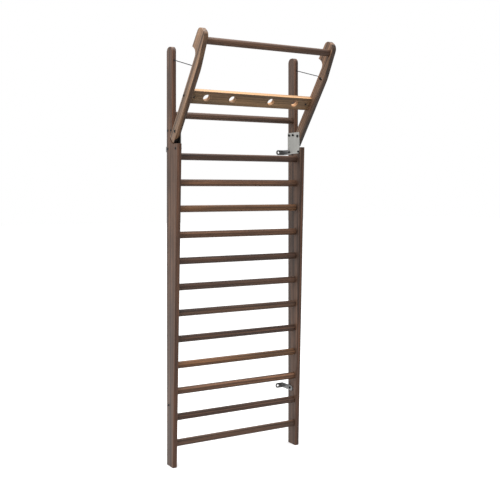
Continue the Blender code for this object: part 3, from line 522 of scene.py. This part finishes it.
def slab(size, matrix):
    """A box as a cutter, centred on the matrix's origin."""
    mesh = bpy.data.meshes.new("cutter")
    work = bmesh.new()
    bmesh.ops.create_cube(work, size=1.0)
    bmesh.ops.scale(work, vec=size, verts=work.verts)
    work.to_mesh(mesh)
    work.free()
    return new_object("cutter", mesh, matrix)


def drill(radius, length, matrix, steps=40):
    """A cylindrical cutter, centred on the matrix's origin, along its Z axis."""
    mesh = bpy.data.meshes.new("cutter")
    work = bmesh.new()
    bmesh.ops.create_cone(
        work, cap_ends=True, segments=steps, radius1=radius, radius2=radius, depth=length
    )
    work.to_mesh(mesh)
    work.free()
    return new_object("cutter", mesh, matrix)


def cut(made, cutters):
    """Cuts with every cutter, applies all modifiers, and removes the cutters."""
    holder = bpy.data.collections.new("cutters")
    bpy.context.scene.collection.children.link(holder)
    for cutter in cutters:
        bpy.context.scene.collection.objects.unlink(cutter)
        holder.objects.link(cutter)
    modifier = made.modifiers.new("cuts", "BOOLEAN")
    modifier.operation = "DIFFERENCE"
    modifier.operand_type = "COLLECTION"
    modifier.collection = holder
    modifier.solver = "EXACT"
    bake(made)
    for cutter in cutters:
        bpy.data.objects.remove(cutter)
    bpy.data.collections.remove(holder)


def bake(made):
    bpy.context.view_layer.update()
    graph = bpy.context.evaluated_depsgraph_get()
    mesh = bpy.data.meshes.new_from_object(made.evaluated_get(graph))
    made.modifiers.clear()
    old = made.data
    made.data = mesh
    bpy.data.meshes.remove(old)
    mesh.name = made.name


def soften(made, angle=32):
    """Smooth shading that stays crisp on the sharp edges."""
    made.data.shade_smooth()
    made.data.set_sharp_from_angle(angle=math.radians(angle))


def turned(name, profile, steps, matrix):
    """Surface of revolution of a (radius, height) profile about the matrix's Z axis."""
    mesh = bpy.data.meshes.new(name)
    work = bmesh.new()
    verts = [work.verts.new((radius, 0, height)) for radius, height in profile]
    edges = [work.edges.new(pair) for pair in zip(verts, verts[1:])]
    bmesh.ops.spin(
        work,
        geom=verts + edges,
        cent=(0, 0, 0),
        axis=(0, 0, 1),
        angle=2 * math.pi,
        steps=steps,
        use_merge=True,
    )
    bmesh.ops.remove_doubles(work, verts=work.verts, dist=1e-6)
    bmesh.ops.recalc_face_normals(work, faces=work.faces)
    work.to_mesh(mesh)
    work.free()
    return new_object(name, mesh, matrix)


def rounded_profile(points, radius, steps=5):
    """A profile whose inner corners are rounded; its two ends stay."""
    result = [points[0]]
    for before, corner, after in zip(points, points[1:], points[2:]):
        here = Vector(corner)
        back = Vector(before) - here
        ahead = Vector(after) - here
        reach = min(radius, back.length * 0.45, ahead.length * 0.45)
        first = here + back.normalized() * reach
        last = here + ahead.normalized() * reach
        for i in range(steps + 1):
            t = i / steps
            point = first.lerp(here, t).lerp(here.lerp(last, t), t)
            result.append((point.x, point.y))
    result.append(points[-1])
    return result


# ---------------------------------------------------------------- outlines


def post_outline():
    back = -WALL_GAP
    slim = -(WALL_GAP + TOP_DEPTH)
    step_front = -(WALL_GAP + STEP_DEPTH)
    foot_front = -(WALL_GAP + FOOT_DEPTH)
    top_round = POST_TOP_RADIUS
    half_pi = math.pi / 2
    clear = PIVOT_TO_BACK + SWING_GAP
    swing = math.hypot(TAIL_LENGTH, PIVOT_TO_BACK) + SWING_GAP
    line_rise = (clear * math.cos(OPEN_ANGLE) - (PIVOT_TO_BACK + FOLD_GAP)) / math.sin(OPEN_ANGLE)
    mouth_z = PIVOT_Z + clear * math.sin(OPEN_ANGLE) + line_rise * math.cos(OPEN_ANGLE)
    line_angle = OPEN_ANGLE - math.acos(clear / swing)
    step_angle = -math.asin(PIVOT_ABOVE_STEP / swing)
    outline = [(foot_front, 0), (back, 0)]
    outline += arc((back - top_round, POST_HEIGHT - top_round), top_round, 0, half_pi)
    outline += arc((slim + top_round, POST_HEIGHT - top_round), top_round, half_pi, math.pi)
    outline.append((slim, mouth_z))
    outline += arc((PIVOT_Y, PIVOT_Z), swing, line_angle, step_angle)
    outline.append((step_front, STEP_HEIGHT))
    return outline


def arm_outline():
    hook_round = POST_TOP_RADIUS + FOLD_GAP
    back = -PIVOT_TO_BACK
    tip = back - HOOK_REACH
    center_s = HOOK_FLAT - hook_round
    front_center_w = back - hook_round
    rear_center_w = back - (TOP_DEPTH - 2 * POST_TOP_RADIUS) - hook_round
    tip_angle = math.acos((rear_center_w - tip) / hook_round)
    tip_s = center_s + hook_round * math.sin(tip_angle)
    head_top = HOOK_FLAT + HEAD_LENGTH
    outline = filleted(
        [
            (-TAIL_LENGTH, back, 0),
            (-TAIL_LENGTH, PIVOT_TO_FRONT, TAIL_ROUND),
            (HOOK_FLAT - FRONT_BEND_BELOW_HOOK, PIVOT_TO_FRONT, FRONT_BEND_RADIUS),
            (head_top, HEAD_FRONT, HEAD_FRONT_ROUND),
            (head_top, HEAD_BACK, HEAD_BACK_ROUND),
            (tip_s, tip, 0),
        ]
    )
    half_pi = math.pi / 2
    outline += arc((center_s, rear_center_w), hook_round, tip_angle - half_pi, 0)[1:]
    outline += arc((center_s, front_center_w), hook_round, 0, half_pi)
    return outline


def plate_bolts():
    rear = -(WALL_GAP + BOLT_INSET)
    between = -(WALL_GAP + TOP_DEPTH - MIDDLE_BOLT_INSET)
    front = -(WALL_GAP + PLATE_DEPTH - FRONT_BOLT_INSET)
    return [
        ("upper_rear", rear, UPPER_BOLTS),
        ("upper_middle", between, UPPER_BOLTS),
        ("lower_rear", rear, LOWER_BOLTS),
        ("lower_front", front, LOWER_BOLTS),
    ]


# ---------------------------------------------------------------- camera, light and floor

CAMERA = (-2.3405, -4.2182, 1.5198)
HEADING = math.radians(30.53)
PITCH = math.radians(-0.3965)
LENS = 59.56
SHIFT = (0.0027, -0.1097)


def make_world():
    """White behind the object; a soft overhead dome, dim below and on the camera's side."""
    world = bpy.data.worlds.new("studio")
    bpy.context.scene.world = world
    world.use_nodes = True
    nodes, links = world.node_tree.nodes, world.node_tree.links
    background = nodes["Background"]
    direction = nodes.new("ShaderNodeTexCoord").outputs["Generated"]
    split = nodes.new("ShaderNodeSeparateXYZ")
    links.new(direction, split.inputs[0])
    height = nodes.new("ShaderNodeMapRange")
    height.interpolation_type = "SMOOTHSTEP"
    height.inputs["From Min"].default_value = -0.75
    height.inputs["From Max"].default_value = 0.95
    height.inputs["To Min"].default_value = 0.06
    height.inputs["To Max"].default_value = 1.15
    links.new(split.outputs[2], height.inputs["Value"])
    sideways = math_node(nodes, links, "MULTIPLY", split.outputs[0], -0.20)
    lengthways = math_node(nodes, links, "MULTIPLY", split.outputs[1], 0.12)
    light = math_node(nodes, links, "ADD", height.outputs[0], sideways)
    light = math_node(nodes, links, "ADD", light, lengthways)
    light = math_node(nodes, links, "MAXIMUM", light, 0.05)
    seen = nodes.new("ShaderNodeLightPath").outputs["Is Camera Ray"]
    strength = nodes.new("ShaderNodeMix")
    links.new(seen, strength.inputs[0])
    links.new(light, strength.inputs[2])
    strength.inputs[3].default_value = 1.0
    background.inputs["Color"].default_value = (1, 1, 1, 1)
    links.new(strength.outputs[0], background.inputs["Strength"])


def make_stage():
    data = bpy.data.cameras.new("camera")
    camera = bpy.data.objects.new("camera", data)
    bpy.context.scene.collection.objects.link(camera)
    data.sensor_width = 36
    data.lens = LENS
    data.shift_x, data.shift_y = SHIFT
    level = math.cos(PITCH)
    ahead = Vector((math.sin(HEADING) * level, math.cos(HEADING) * level, math.sin(PITCH)))
    camera.location = CAMERA
    camera.rotation_mode = "QUATERNION"
    camera.rotation_quaternion = ahead.to_track_quat("-Z", "Y")
    bpy.context.scene.camera = camera

    floor_mesh = bpy.data.meshes.new("floor")
    work = bmesh.new()
    bmesh.ops.create_grid(work, x_segments=1, y_segments=1, size=30)
    work.to_mesh(floor_mesh)
    work.free()
    floor = new_object("floor", floor_mesh, Matrix.Translation((0, 0, -0.0005)))
    made, _, _, shader = new_material("floor")
    shader.inputs["Base Color"].default_value = (0.86, 0.86, 0.86, 1)
    shader.inputs["Roughness"].default_value = 0.9
    shader.inputs["Specular IOR Level"].default_value = 0.0
    shader.inputs["Emission Color"].default_value = (1, 1, 1, 1)
    shader.inputs["Emission Strength"].default_value = 0.36
    floor_mesh.materials.append(made)
    floor.visible_diffuse = False

    make_world()

    def lamp(name, place, target, size, power):
        data = bpy.data.lights.new(name, "AREA")
        data.shape = "DISK"
        data.size = size
        data.energy = power
        light = bpy.data.objects.new(name, data)
        bpy.context.scene.collection.objects.link(light)
        light.location = place
        aim = Vector(target) - Vector(place)
        light.rotation_mode = "QUATERNION"
        light.rotation_quaternion = aim.to_track_quat("-Z", "Y")

    lamp("key", (-2.6, -1.1, 3.3), (-0.2, -0.2, 1.5), 1.4, 36)
    lamp("low", (-2.3, -1.3, 0.35), (-0.3, -0.1, 0.4), 0.9, 8)
    lamp("top", (0.3, -0.6, 5.2), (0, -0.2, 1.2), 2.2, 90)

    view = bpy.context.scene.view_settings
    view.view_transform = "Standard"
    view.look = "None"
    view.exposure = 0.0
    view.gamma = 1.0


# ---------------------------------------------------------------- wooden pieces


def faces_toward(made, direction, surface, least=0.75):
    """Gives the faces that look in one direction a material of their own."""
    made.data.materials.append(surface)
    for face in made.data.polygons:
        if face.normal.dot(direction) > least:
            face.material_index = len(made.data.materials) - 1


def make_posts():
    for k, (side, sign) in enumerate(SIDES):
        x = sign * POST_MIDDLE_X
        made = prism(f"{side}_post_wood", post_outline(), BOARD_STOCK, side_frame(x))
        rim_bevel(made, EDGE_ROUND)
        cutters = []
        radius = ROPE_DIAMETER / 2 + ROPE_PLAY
        height = POST_HEIGHT - ROPE_BELOW_TOP
        place = Matrix.Translation((x, -(WALL_GAP + TOP_DEPTH / 2), height)) @ LIE_DOWN
        cutters.append(drill(radius, TOP_DEPTH + 2 * THROUGH, place))
        recess_y = -WALL_GAP + (THROUGH - STOP_RECESS_DEPTH) / 2
        place = Matrix.Translation((x, recess_y, height)) @ LIE_DOWN
        cutters.append(drill(STOP_DIAMETER / 2 + STOP_PLAY, STOP_RECESS_DEPTH + THROUGH, place))
        deep = BRACKET_THICKNESS + 2 * GAP
        long = BOLT_INSET + BRACKET_PAST_BOLT + GAP
        size = (deep + THROUGH, long + THROUGH, BRACKET_WIDTH + 2 * GAP)
        place = (
            sign * (POST_INNER_X + (deep - THROUGH) / 2),
            -WALL_GAP + (THROUGH - long) / 2,
            LOWER_BOLTS,
        )
        cutters.append(slab(size, Matrix.Translation(place)))
        cut(made, cutters)
        soften(made)
        pith = (0.06, -0.30 * sign)
        surface = wood(f"walnut_{side}_post", "Z", WALNUT, 1.0 + 3.3 * k, pith)
        dressed(made, surface, BODY, "walnut", f"{side}_post")
        # The front faces get a darker, redder copy of the walnut: painted shade
        front_shade = wood(f"walnut_{side}_post_front_painted_shade", "Z", WALNUT_FRONT_PAINTED_SHADE, 6.1 + 1.3 * k, EDGE_PITH)
        faces_toward(made, Vector((0, -1, 0)), front_shade)


def round_bar(name, node, surface, body):
    """A rung or the bar: straight, with a small rounded shoulder where it meets the wood."""
    low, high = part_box(node)
    radius = (high.z - low.z) / 2
    shoulder = POST_INNER_X - GAP
    tenon, tenon_end = radius - TENON_SMALLER, high.x - 0.0005
    corner_r, corner_x = radius - RUNG_SHOULDER_ROUND, shoulder - RUNG_SHOULDER_ROUND
    rounded = [(corner_r, shoulder)]
    for i in range(7):
        a = math.pi / 2 * i / 6
        r = corner_r + RUNG_SHOULDER_ROUND * math.sin(a)
        rounded.append((r, corner_x + RUNG_SHOULDER_ROUND * math.cos(a)))
    count = 12
    straight = [(radius, corner_x * (1 - 2 * i / count)) for i in range(1, count)]
    profile = [(0, tenon_end), (tenon, tenon_end), (tenon, shoulder)]
    profile += rounded + straight + [(r, -x) for r, x in reversed(rounded)]
    profile += [(tenon, -shoulder), (tenon, -tenon_end), (0, -tenon_end)]
    made = turned(name, profile, 56, along_x(middle(node)))
    soften(made, 40)
    dressed(made, surface, body, "walnut", node)


def make_rungs():
    tones = {
        "dark": WALNUT_DARK,
        "plain": WALNUT,
        "warm": WALNUT_WARM,
        "brown": WALNUT_BROWN,
    }
    surfaces = {}
    for i, (label, color) in enumerate(tones.items()):
        seed = 2.0 + 1.9 * i
        surfaces[label] = wood(f"walnut_rung_{label}", "X", color, seed, pith=(0.03, 0.05))
    order = (
        "plain", "dark", "brown", "warm", "dark", "plain", "dark",
        "dark", "brown", "warm", "brown", "dark", "plain",
    )
    for i, label in enumerate(order):
        node = f"rung_{i + 1:02d}"
        round_bar(f"{node}_wood", node, surfaces[label], BODY)
    round_bar("pull_up_bar_wood", "pull_up_bar", surfaces["brown"], FRAME)


def make_arms():
    rope_hole = ROPE_DIAMETER / 2 + ROPE_PLAY
    for k, (side, sign) in enumerate(SIDES):
        base = Matrix.Translation((sign * POST_MIDDLE_X, 0, 0)) @ arm_frame()
        made = prism(f"{side}_arm_wood", arm_outline(), BOARD_STOCK, base)
        rim_bevel(made, EDGE_ROUND)
        rear = -PIVOT_TO_BACK + ARM_POCKET_FROM_BACK
        front = rear + ARM_POCKET_LENGTH
        radius = ARM_POCKET_WIDTH / 2
        outline = arc((ROPE_ON_ARM, front - radius), radius, 0, math.pi)
        outline += arc((ROPE_ON_ARM, rear + radius), radius, math.pi, 2 * math.pi)
        x = sign * (POST_INNER_X + (ARM_POCKET_DEPTH - THROUGH) / 2)
        place = Matrix.Translation((x, 0, 0)) @ arm_frame()
        pocket = prism("cutter", outline, ARM_POCKET_DEPTH + THROUGH, place)
        length = ARM_POCKET_FROM_BACK + radius + THROUGH
        place = base @ Matrix.Translation((ROPE_ON_ARM, rear + radius - length / 2, 0))
        cut(made, [pocket, drill(rope_hole, length, place @ LIE_DOWN)])
        soften(made)
        pith = (0.04, -0.25 * sign)
        surface = wood(f"walnut_{side}_arm", "S", ARM_FACES[k], 5.0 + 2.7 * k, pith)
        dressed(made, surface, FRAME, "walnut", f"{side}_arm")
        # The front faces get a darker copy of the walnut as painted shade, near black on the tail
        name, seed = f"walnut_{side}_arm_front_painted_shade", 7.3 + 2.1 * k
        front_shade = wood(name, "S", ARM_FRONTS_PAINTED_SHADE[k], seed, EDGE_PITH, tail_shade_side=sign)
        faces_toward(made, ARM_FORWARD, front_shade, 0.2)


def make_cross_board():
    half = POST_INNER_X - GAP
    top = BOARD_BOTTOM + BOARD_WIDTH
    turn = Matrix(((0, 1, 0), (0, 0, 1), (1, 0, 0))).to_4x4()
    base = arm_frame() @ Matrix.Translation((0, BOARD_SET, 0)) @ turn
    outline = [(-half, BOARD_BOTTOM), (half, BOARD_BOTTOM), (half, top), (-half, top)]
    made = prism("cross_board_wood", outline, BOARD_STOCK, base)
    hole_xs = []
    cutters = []
    barrel_depth = BARREL_LENGTH + GAP
    for _, sign in SIDES:
        for from_end in HAND_HOLES_FROM_END:
            hole_xs.append(sign * (POST_INNER_X - from_end))
            place = base @ Matrix.Translation((hole_xs[-1], BOARD_MIDDLE, 0))
            cutters.append(drill(HAND_HOLE_DIAMETER / 2, BOARD_STOCK + 2 * THROUGH, place, 64))
        x = sign * (POST_INNER_X - BARREL_FROM_END)
        out = (BOARD_STOCK + THROUGH - barrel_depth) / 2
        place = base @ Matrix.Translation((x, BOARD_MIDDLE, out))
        cutters.append(drill(BARREL_DIAMETER / 2 + GAP, barrel_depth + THROUGH, place))
    cut(made, cutters)
    rim_bevel(made, BOARD_EDGE_ROUND, 3, 50)
    bake(made)
    soften(made)
    board = wood("walnut_board", "X", BOARD_FACES, 9.4, pith=(0.14, 0.02))
    bare_and_lit = wood("walnut_board_bare_and_lit_top", "X", BARE_WOOD_AND_PAINTED_LIGHT, 3.1, pith=(0.10, 0.06), contrast=0.6)
    dressed(made, board, FRAME, "walnut", "cross_board")
    # The top edge and the holes' walls are unstained, paler wood; the top edge's colour also holds
    # painted light from above
    made.data.materials.append(bare_and_lit)
    pivot = Vector((0, PIVOT_Y, PIVOT_Z))
    for face in made.data.polygons:
        height = (face.center - pivot).dot(ARM_UP)
        on_top = face.normal.dot(ARM_UP) > 0.8 and height > top - 0.003
        reach = min(math.hypot(face.center.x - x, height - BOARD_MIDDLE) for x in hole_xs)
        is_wall = abs(face.normal.dot(ARM_FORWARD)) < 0.3
        if on_top or (is_wall and reach < HAND_HOLE_DIAMETER / 2 + 0.001):
            face.material_index = 1


# ---------------------------------------------------------------- steel pieces


def make_plates(steel, plate_face_shade):
    """Zinc-plated plates; the face that an arm slides on is near black, which is painted shade."""
    back = -WALL_GAP
    front = -(WALL_GAP + PLATE_DEPTH)
    bottom = STEP_HEIGHT - PLATE_BELOW_STEP
    top = PIVOT_Z + PLATE_ABOVE_PIVOT
    outline = filleted(
        [
            (front + PLATE_CHAMFER, bottom, 0.002),
            (back, bottom, 0.0015),
            (back, top, 0.0015),
            (front, top, 0.0025),
            (front, bottom + PLATE_CHAMFER, 0.002),
        ]
    )
    for side, sign in SIDES:
        x = sign * (POST_INNER_X - GAP - PLATE_THICKNESS / 2)
        made = prism(f"{side}_hinge_plate_steel", outline, PLATE_THICKNESS, side_frame(x))
        rim_bevel(made, 0.0004, 3, 50)
        bake(made)
        soften(made)
        dressed(made, steel, BODY, "plate_steel", f"{side}_hinge_plate")
        # The face towards the arm gets the near-black material: painted shade
        faces_toward(made, Vector((sign, 0, 0)), plate_face_shade)


def make_brackets(steel):
    lower_z = middle("left_lower_bracket").z
    for side, sign in SIDES:
        places = (
            ("upper", LOWER_BOLTS, POST_INNER_X + GAP + BRACKET_THICKNESS, BOLT_INSET),
            ("lower", lower_z, POST_INNER_X - GAP, LOWER_BRACKET_BOLT_INSET),
        )
        for level, z, face_x, bolt_inset in places:
            name = f"{side}_{level}_bracket_steel"
            made = bent_strap(name, sign, face_x, z, bolt_inset + BRACKET_PAST_BOLT)
            dressed(made, steel, BODY, "bracket_steel", f"{side}_{level}_bracket")


def bent_strap(name, sign, face_x, z, on_post):
    """A flat strap with round ends and a screw hole, bent to an L: the post's leg comes first."""
    bend = BRACKET_BEND_RADIUS - BRACKET_THICKNESS / 2
    side_run = WALL_GAP + on_post - BRACKET_BEND_RADIUS
    wall_run = BRACKET_ON_WALL - BRACKET_BEND_RADIUS
    turn = bend * math.pi / 2
    length = side_run + turn + wall_run
    half = BRACKET_WIDTH / 2
    corner = half - 0.002
    corners = ((0, -half), (length, -half), (length, half), (0, half))
    outline = filleted([(x, y, corner) for x, y in corners])
    flat = prism(name, outline, BRACKET_THICKNESS, Matrix.Identity(4))
    hole_at = length - WALL_SCREW_FROM_END
    place = Matrix.Translation((hole_at, 0, 0))
    cut(flat, [drill(WALL_SCREW_HOLE / 2, 3 * THROUGH, place)])
    rim_bevel(flat, 0.0005, 2, 50)
    bake(flat)
    work = bmesh.new()
    work.from_mesh(flat.data)
    for i in range(BEND_STEPS + 1):
        at = side_run + turn * i / BEND_STEPS
        geom = work.verts[:] + work.edges[:] + work.faces[:]
        bmesh.ops.bisect_plane(work, geom=geom, plane_co=(at, 0, 0), plane_no=(1, 0, 0))
    for vert in work.verts:
        run, across, out = vert.co
        # out > 0 is the post side of the side leg and the wall side of the wall leg
        if run <= side_run:
            x, y = out, run
        elif run <= side_run + turn:
            angle = (run - side_run) / bend
            x = -bend + (bend + out) * math.cos(angle)
            y = side_run + (bend + out) * math.sin(angle)
        else:
            x = -bend - (run - side_run - turn)
            y = side_run + bend + out
        vert.co = (
            sign * (face_x - BRACKET_THICKNESS / 2 + x),
            y - (WALL_GAP + on_post),
            z + across,
        )
    bmesh.ops.recalc_face_normals(work, faces=work.faces)
    work.to_mesh(flat.data)
    work.free()
    soften(flat)
    return flat


def button_bolt(name, node, sign, outer_x, radius, steel, body):
    """Low round head with a hexagon socket and a thin flange."""
    place = middle(node)
    height = BOLT_HEAD_HEIGHT - SHORT_OF_CAD
    socket = radius * 0.36
    profile = [(ON_AXIS, height)]
    for i in range(9):
        a = math.pi / 2 * i / 8
        r = socket + radius * 0.54 * math.sin(a)
        profile.append((r, height * (0.35 + 0.65 * math.cos(a))))
    profile += [(radius * 0.97, height * 0.28), (radius, height * 0.18)]
    profile += [(radius, 0.0), (ON_AXIS, 0.0)]
    made = turned(name, profile, 40, along_x((sign * outer_x, place.y, place.z), sign))
    socket_place = made.matrix_world @ Matrix.Translation((0, 0, height * 0.95))
    cut(made, [drill(socket, height, socket_place, 6)])
    soften(made, 35)
    dressed(made, steel, body, "black_steel", node)


def cap_nut(name, node, sign, base_x, radius, steel):
    """Hexagon nut with a domed cap, made as two pieces."""
    place = middle(node)
    height = NUT_HEIGHT - SHORT_OF_CAD
    matrix = along_x((sign * base_x, place.y, place.z), -sign)
    hexagon = [
        (ON_AXIS, 0),
        (radius * 0.97, 0),
        (radius, height * 0.05),
        (radius, height * 0.44),
        (radius * 0.88, height * 0.52),
        (ON_AXIS, height * 0.52),
    ]
    made = turned(name, hexagon, 6, matrix)
    soften(made, 20)
    dome = [(radius * 0.80, height * 0.50)]
    for i in range(10):
        a = math.pi / 2 * i / 9
        r = radius * 0.78 * math.cos(a) + ON_AXIS
        dome.append((r, height * (0.52 + 0.47 * math.sin(a))))
    dome.append((ON_AXIS, height * 0.50))
    cap = turned(f"{name}_cap", dome, 32, matrix)
    soften(cap, 60)
    cap.data.materials.append(steel)
    dressed(made, steel, BODY, "black_steel", node)
    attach(cap, BODY)


def make_fasteners(steel):
    head, pivot_head = BOLT_HEAD_DIAMETER / 2, PIVOT_HEAD_DIAMETER / 2
    outer = POST_OUTER_X + GAP
    on_plate = POST_INNER_X - 2 * GAP - PLATE_THICKNESS
    on_strap = POST_INNER_X - 2 * GAP - BRACKET_THICKNESS
    labels = [(label, head, on_plate) for label, _, _ in plate_bolts()]
    labels += [("lower_bracket", head, on_strap), ("pivot", pivot_head, on_plate)]
    for side, sign in SIDES:
        for label, radius, nut_x in labels:
            name = f"{side}_{label}"
            button_bolt(f"{name}_head", f"{name}_bolt", sign, outer, radius, steel, BODY)
            cap_nut(f"{name}_cap_nut", f"{name}_nut", sign, nut_x, radius, steel)
        name = f"{side}_board"
        button_bolt(f"{name}_head", f"{name}_bolt", sign, outer, head, steel, FRAME)
        make_barrel(side, sign, steel)


def make_barrel(side, sign, steel):
    """Slotted end of the barrel nut, flush with the board's front face."""
    front_w = BOARD_SET + BOARD_STOCK / 2
    x = sign * (POST_INNER_X - BARREL_FROM_END)
    length, radius = BARREL_LENGTH - SHORT_OF_CAD, BARREL_DIAMETER / 2 - SHORT_OF_CAD
    base = arm_frame() @ Matrix.Translation((BOARD_MIDDLE, front_w - length, x))
    base = base @ Matrix.Rotation(-math.pi / 2, 4, "X")
    corners = [(ON_AXIS, length), (radius, length), (radius, SHORT_OF_CAD)]
    profile = rounded_profile(corners + [(ON_AXIS, SHORT_OF_CAD)], 0.0005, 3)
    made = turned(f"{side}_barrel_nut_steel", profile, 36, base)
    cut(made, [slab(SCREWDRIVER_SLOT, base @ Matrix.Translation((0, 0, length)))])
    soften(made, 35)
    dressed(made, steel, FRAME, "black_steel", f"{side}_barrel_nut")


# ---------------------------------------------------------------- stay ropes


def stop_start_w():
    radius = ARM_POCKET_WIDTH / 2
    sagitta = radius - math.sqrt(radius**2 - (STOP_DIAMETER / 2) ** 2)
    return -PIVOT_TO_BACK + ARM_POCKET_FROM_BACK + sagitta + GAP


def rope_corners(x):
    z = POST_HEIGHT - ROPE_BELOW_TOP
    start = Vector((x, -WALL_GAP - ROPE_TAIL, z))
    post_turn = Vector((x, -(WALL_GAP + TOP_DEPTH - ROPE_BEND_DEPTH), z))
    arm_turn = arm_point(x, ROPE_ON_ARM, -PIVOT_TO_BACK + ROPE_BEND_DEPTH)
    end = arm_point(x, ROPE_ON_ARM, stop_start_w() + STOP_LENGTH + ROPE_TAIL)
    return [start, post_turn, arm_turn, end]


def bent_line(corners, radius, spacing):
    points = [corners[0]]

    def run_to(target):
        start = points[-1].copy()
        count = max(1, round((target - start).length / spacing))
        for i in range(1, count + 1):
            points.append(start.lerp(target, i / count))

    for before, corner, after in zip(corners, corners[1:], corners[2:]):
        back = (before - corner).normalized()
        ahead = (after - corner).normalized()
        half = back.angle(ahead) / 2
        center = corner + (back + ahead).normalized() * radius / math.sin(half)
        first = corner + back * radius / math.tan(half)
        last = corner + ahead * radius / math.tan(half)
        run_to(first)
        turn = math.pi - 2 * half
        steps = max(2, math.ceil(turn / math.radians(6)))
        for i in range(1, steps + 1):
            outward = (first - center).slerp(last - center, i / steps)
            points.append(center + outward * radius)
    run_to(corners[-1])
    return points


def square_axes(points, i):
    """Two unit vectors square to the line at its point i. The line has to stay off the X axis."""
    ahead = (points[min(i + 1, len(points) - 1)] - points[max(i - 1, 0)]).normalized()
    sideways = Vector((1, 0, 0))
    across = (sideways - ahead * sideways.dot(ahead)).normalized()
    return across, ahead.cross(across)


def tube(work, points, radius, sides):
    """Adds a capped tube along the points."""
    rings = []
    for i, point in enumerate(points):
        across, other = square_axes(points, i)
        ring = []
        for j in range(sides):
            a = 2 * math.pi * j / sides
            outward = across * math.cos(a) + other * math.sin(a)
            ring.append(work.verts.new(point + outward * radius))
        rings.append(ring)
    for one, two in zip(rings, rings[1:]):
        for j in range(sides):
            k = (j + 1) % sides
            work.faces.new((one[j], one[k], two[k], two[j]))
    work.faces.new(list(reversed(rings[0])))
    work.faces.new(rings[-1])


def make_ropes(wire, sleeve):
    """Six outer strands laid round a core, and a crimped stop at each end."""
    strand = ROPE_DIAMETER / 6
    laid_at = ROPE_DIAMETER / 2 - strand
    turn = Matrix.Rotation(-math.pi / 2, 4, "X")
    for side, sign in SIDES:
        x = sign * POST_MIDDLE_X
        points = bent_line(rope_corners(x), ROPE_BEND_RADIUS, ROPE_POINT_EVERY)
        mesh = bpy.data.meshes.new(f"{side}_stay_rope_wire")
        work = bmesh.new()
        tube(work, points, strand * 1.05, 8)
        run = [0.0]
        for a, b in zip(points, points[1:]):
            run.append(run[-1] + (b - a).length)
        for s in range(ROPE_STRANDS):
            line = []
            for i, point in enumerate(points):
                across, other = square_axes(points, i)
                a = 2 * math.pi * (s / ROPE_STRANDS + run[i] / ROPE_LAY)
                outward = across * math.cos(a) + other * math.sin(a)
                line.append(point + outward * laid_at)
            tube(work, line, strand, 7)
        bmesh.ops.recalc_face_normals(work, faces=work.faces)
        work.to_mesh(mesh)
        work.free()
        made = new_object(f"{side}_stay_rope_wire", mesh)
        soften(made, 50)
        made.data.materials.append(wire)
        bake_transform(made)
        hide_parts(f"{side}_stay_rope")

        height = POST_HEIGHT - ROPE_BELOW_TOP
        floor_y = -(WALL_GAP + STOP_RECESS_DEPTH) + GAP
        rear = Matrix.Translation((x, floor_y, height)) @ turn
        crimped_stop(f"{side}_post_stop", rear, sleeve, BODY, f"{side}_post_rope_stop")
        base = Matrix.Translation((x, 0, 0)) @ arm_frame()
        front = base @ Matrix.Translation((ROPE_ON_ARM, stop_start_w(), 0)) @ turn
        crimped_stop(f"{side}_arm_stop", front, sleeve, FRAME, f"{side}_arm_rope_stop")


def crimped_stop(name, matrix, surface, body, node):
    """A sleeve pressed on the rope: three shallow grooves and rounded rims."""
    outer, bore = STOP_DIAMETER / 2, ROPE_DIAMETER / 2 + 0.0002
    rim, half_groove, groove_depth = 0.0006, 0.0008, 0.0004
    profile = [(bore, 0.0), (outer - rim, 0.0), (outer, rim)]
    for share in (0.3, 0.5, 0.7):
        center = STOP_LENGTH * share
        bottom = (outer - groove_depth, center)
        profile += [(outer, center - half_groove), bottom, (outer, center + half_groove)]
    profile += [(outer, STOP_LENGTH - rim), (outer - rim, STOP_LENGTH)]
    profile += [(bore, STOP_LENGTH), (bore, 0.0)]
    made = turned(name, profile, 28, matrix)
    soften(made, 40)
    dressed(made, surface, body, "bracket_steel", node)


# ---------------------------------------------------------------- build


def main():
    make_stage()
    plate = metal("zinc_plate", ZINC, 0.36, 0.95, grain=(1, 1, 0.25), spread=0.07)
    strap = metal("galvanised_strap", GALVANISED, 0.40, 0.85, spread=0.14, scale=120)
    # Near black for the plates' faces towards the arms: painted shade
    plate_face_shade = metal("plate_face_painted_shade", PAINTED_SHADE_BLACK, 0.70, 0.0, gloss=0.15)
    black = metal("black_oxide", BLACK_OXIDE, 0.36, 0.0, spread=0.10, gloss=0.22)
    wire = metal("dark_wire", DARK_WIRE, 0.42, 0.25, spread=0.10, gloss=0.2)
    make_ropes(wire, strap)
    make_posts()
    make_rungs()
    make_arms()
    make_cross_board()
    make_plates(plate, plate_face_shade)
    make_brackets(strap)
    make_fasteners(black)


main()
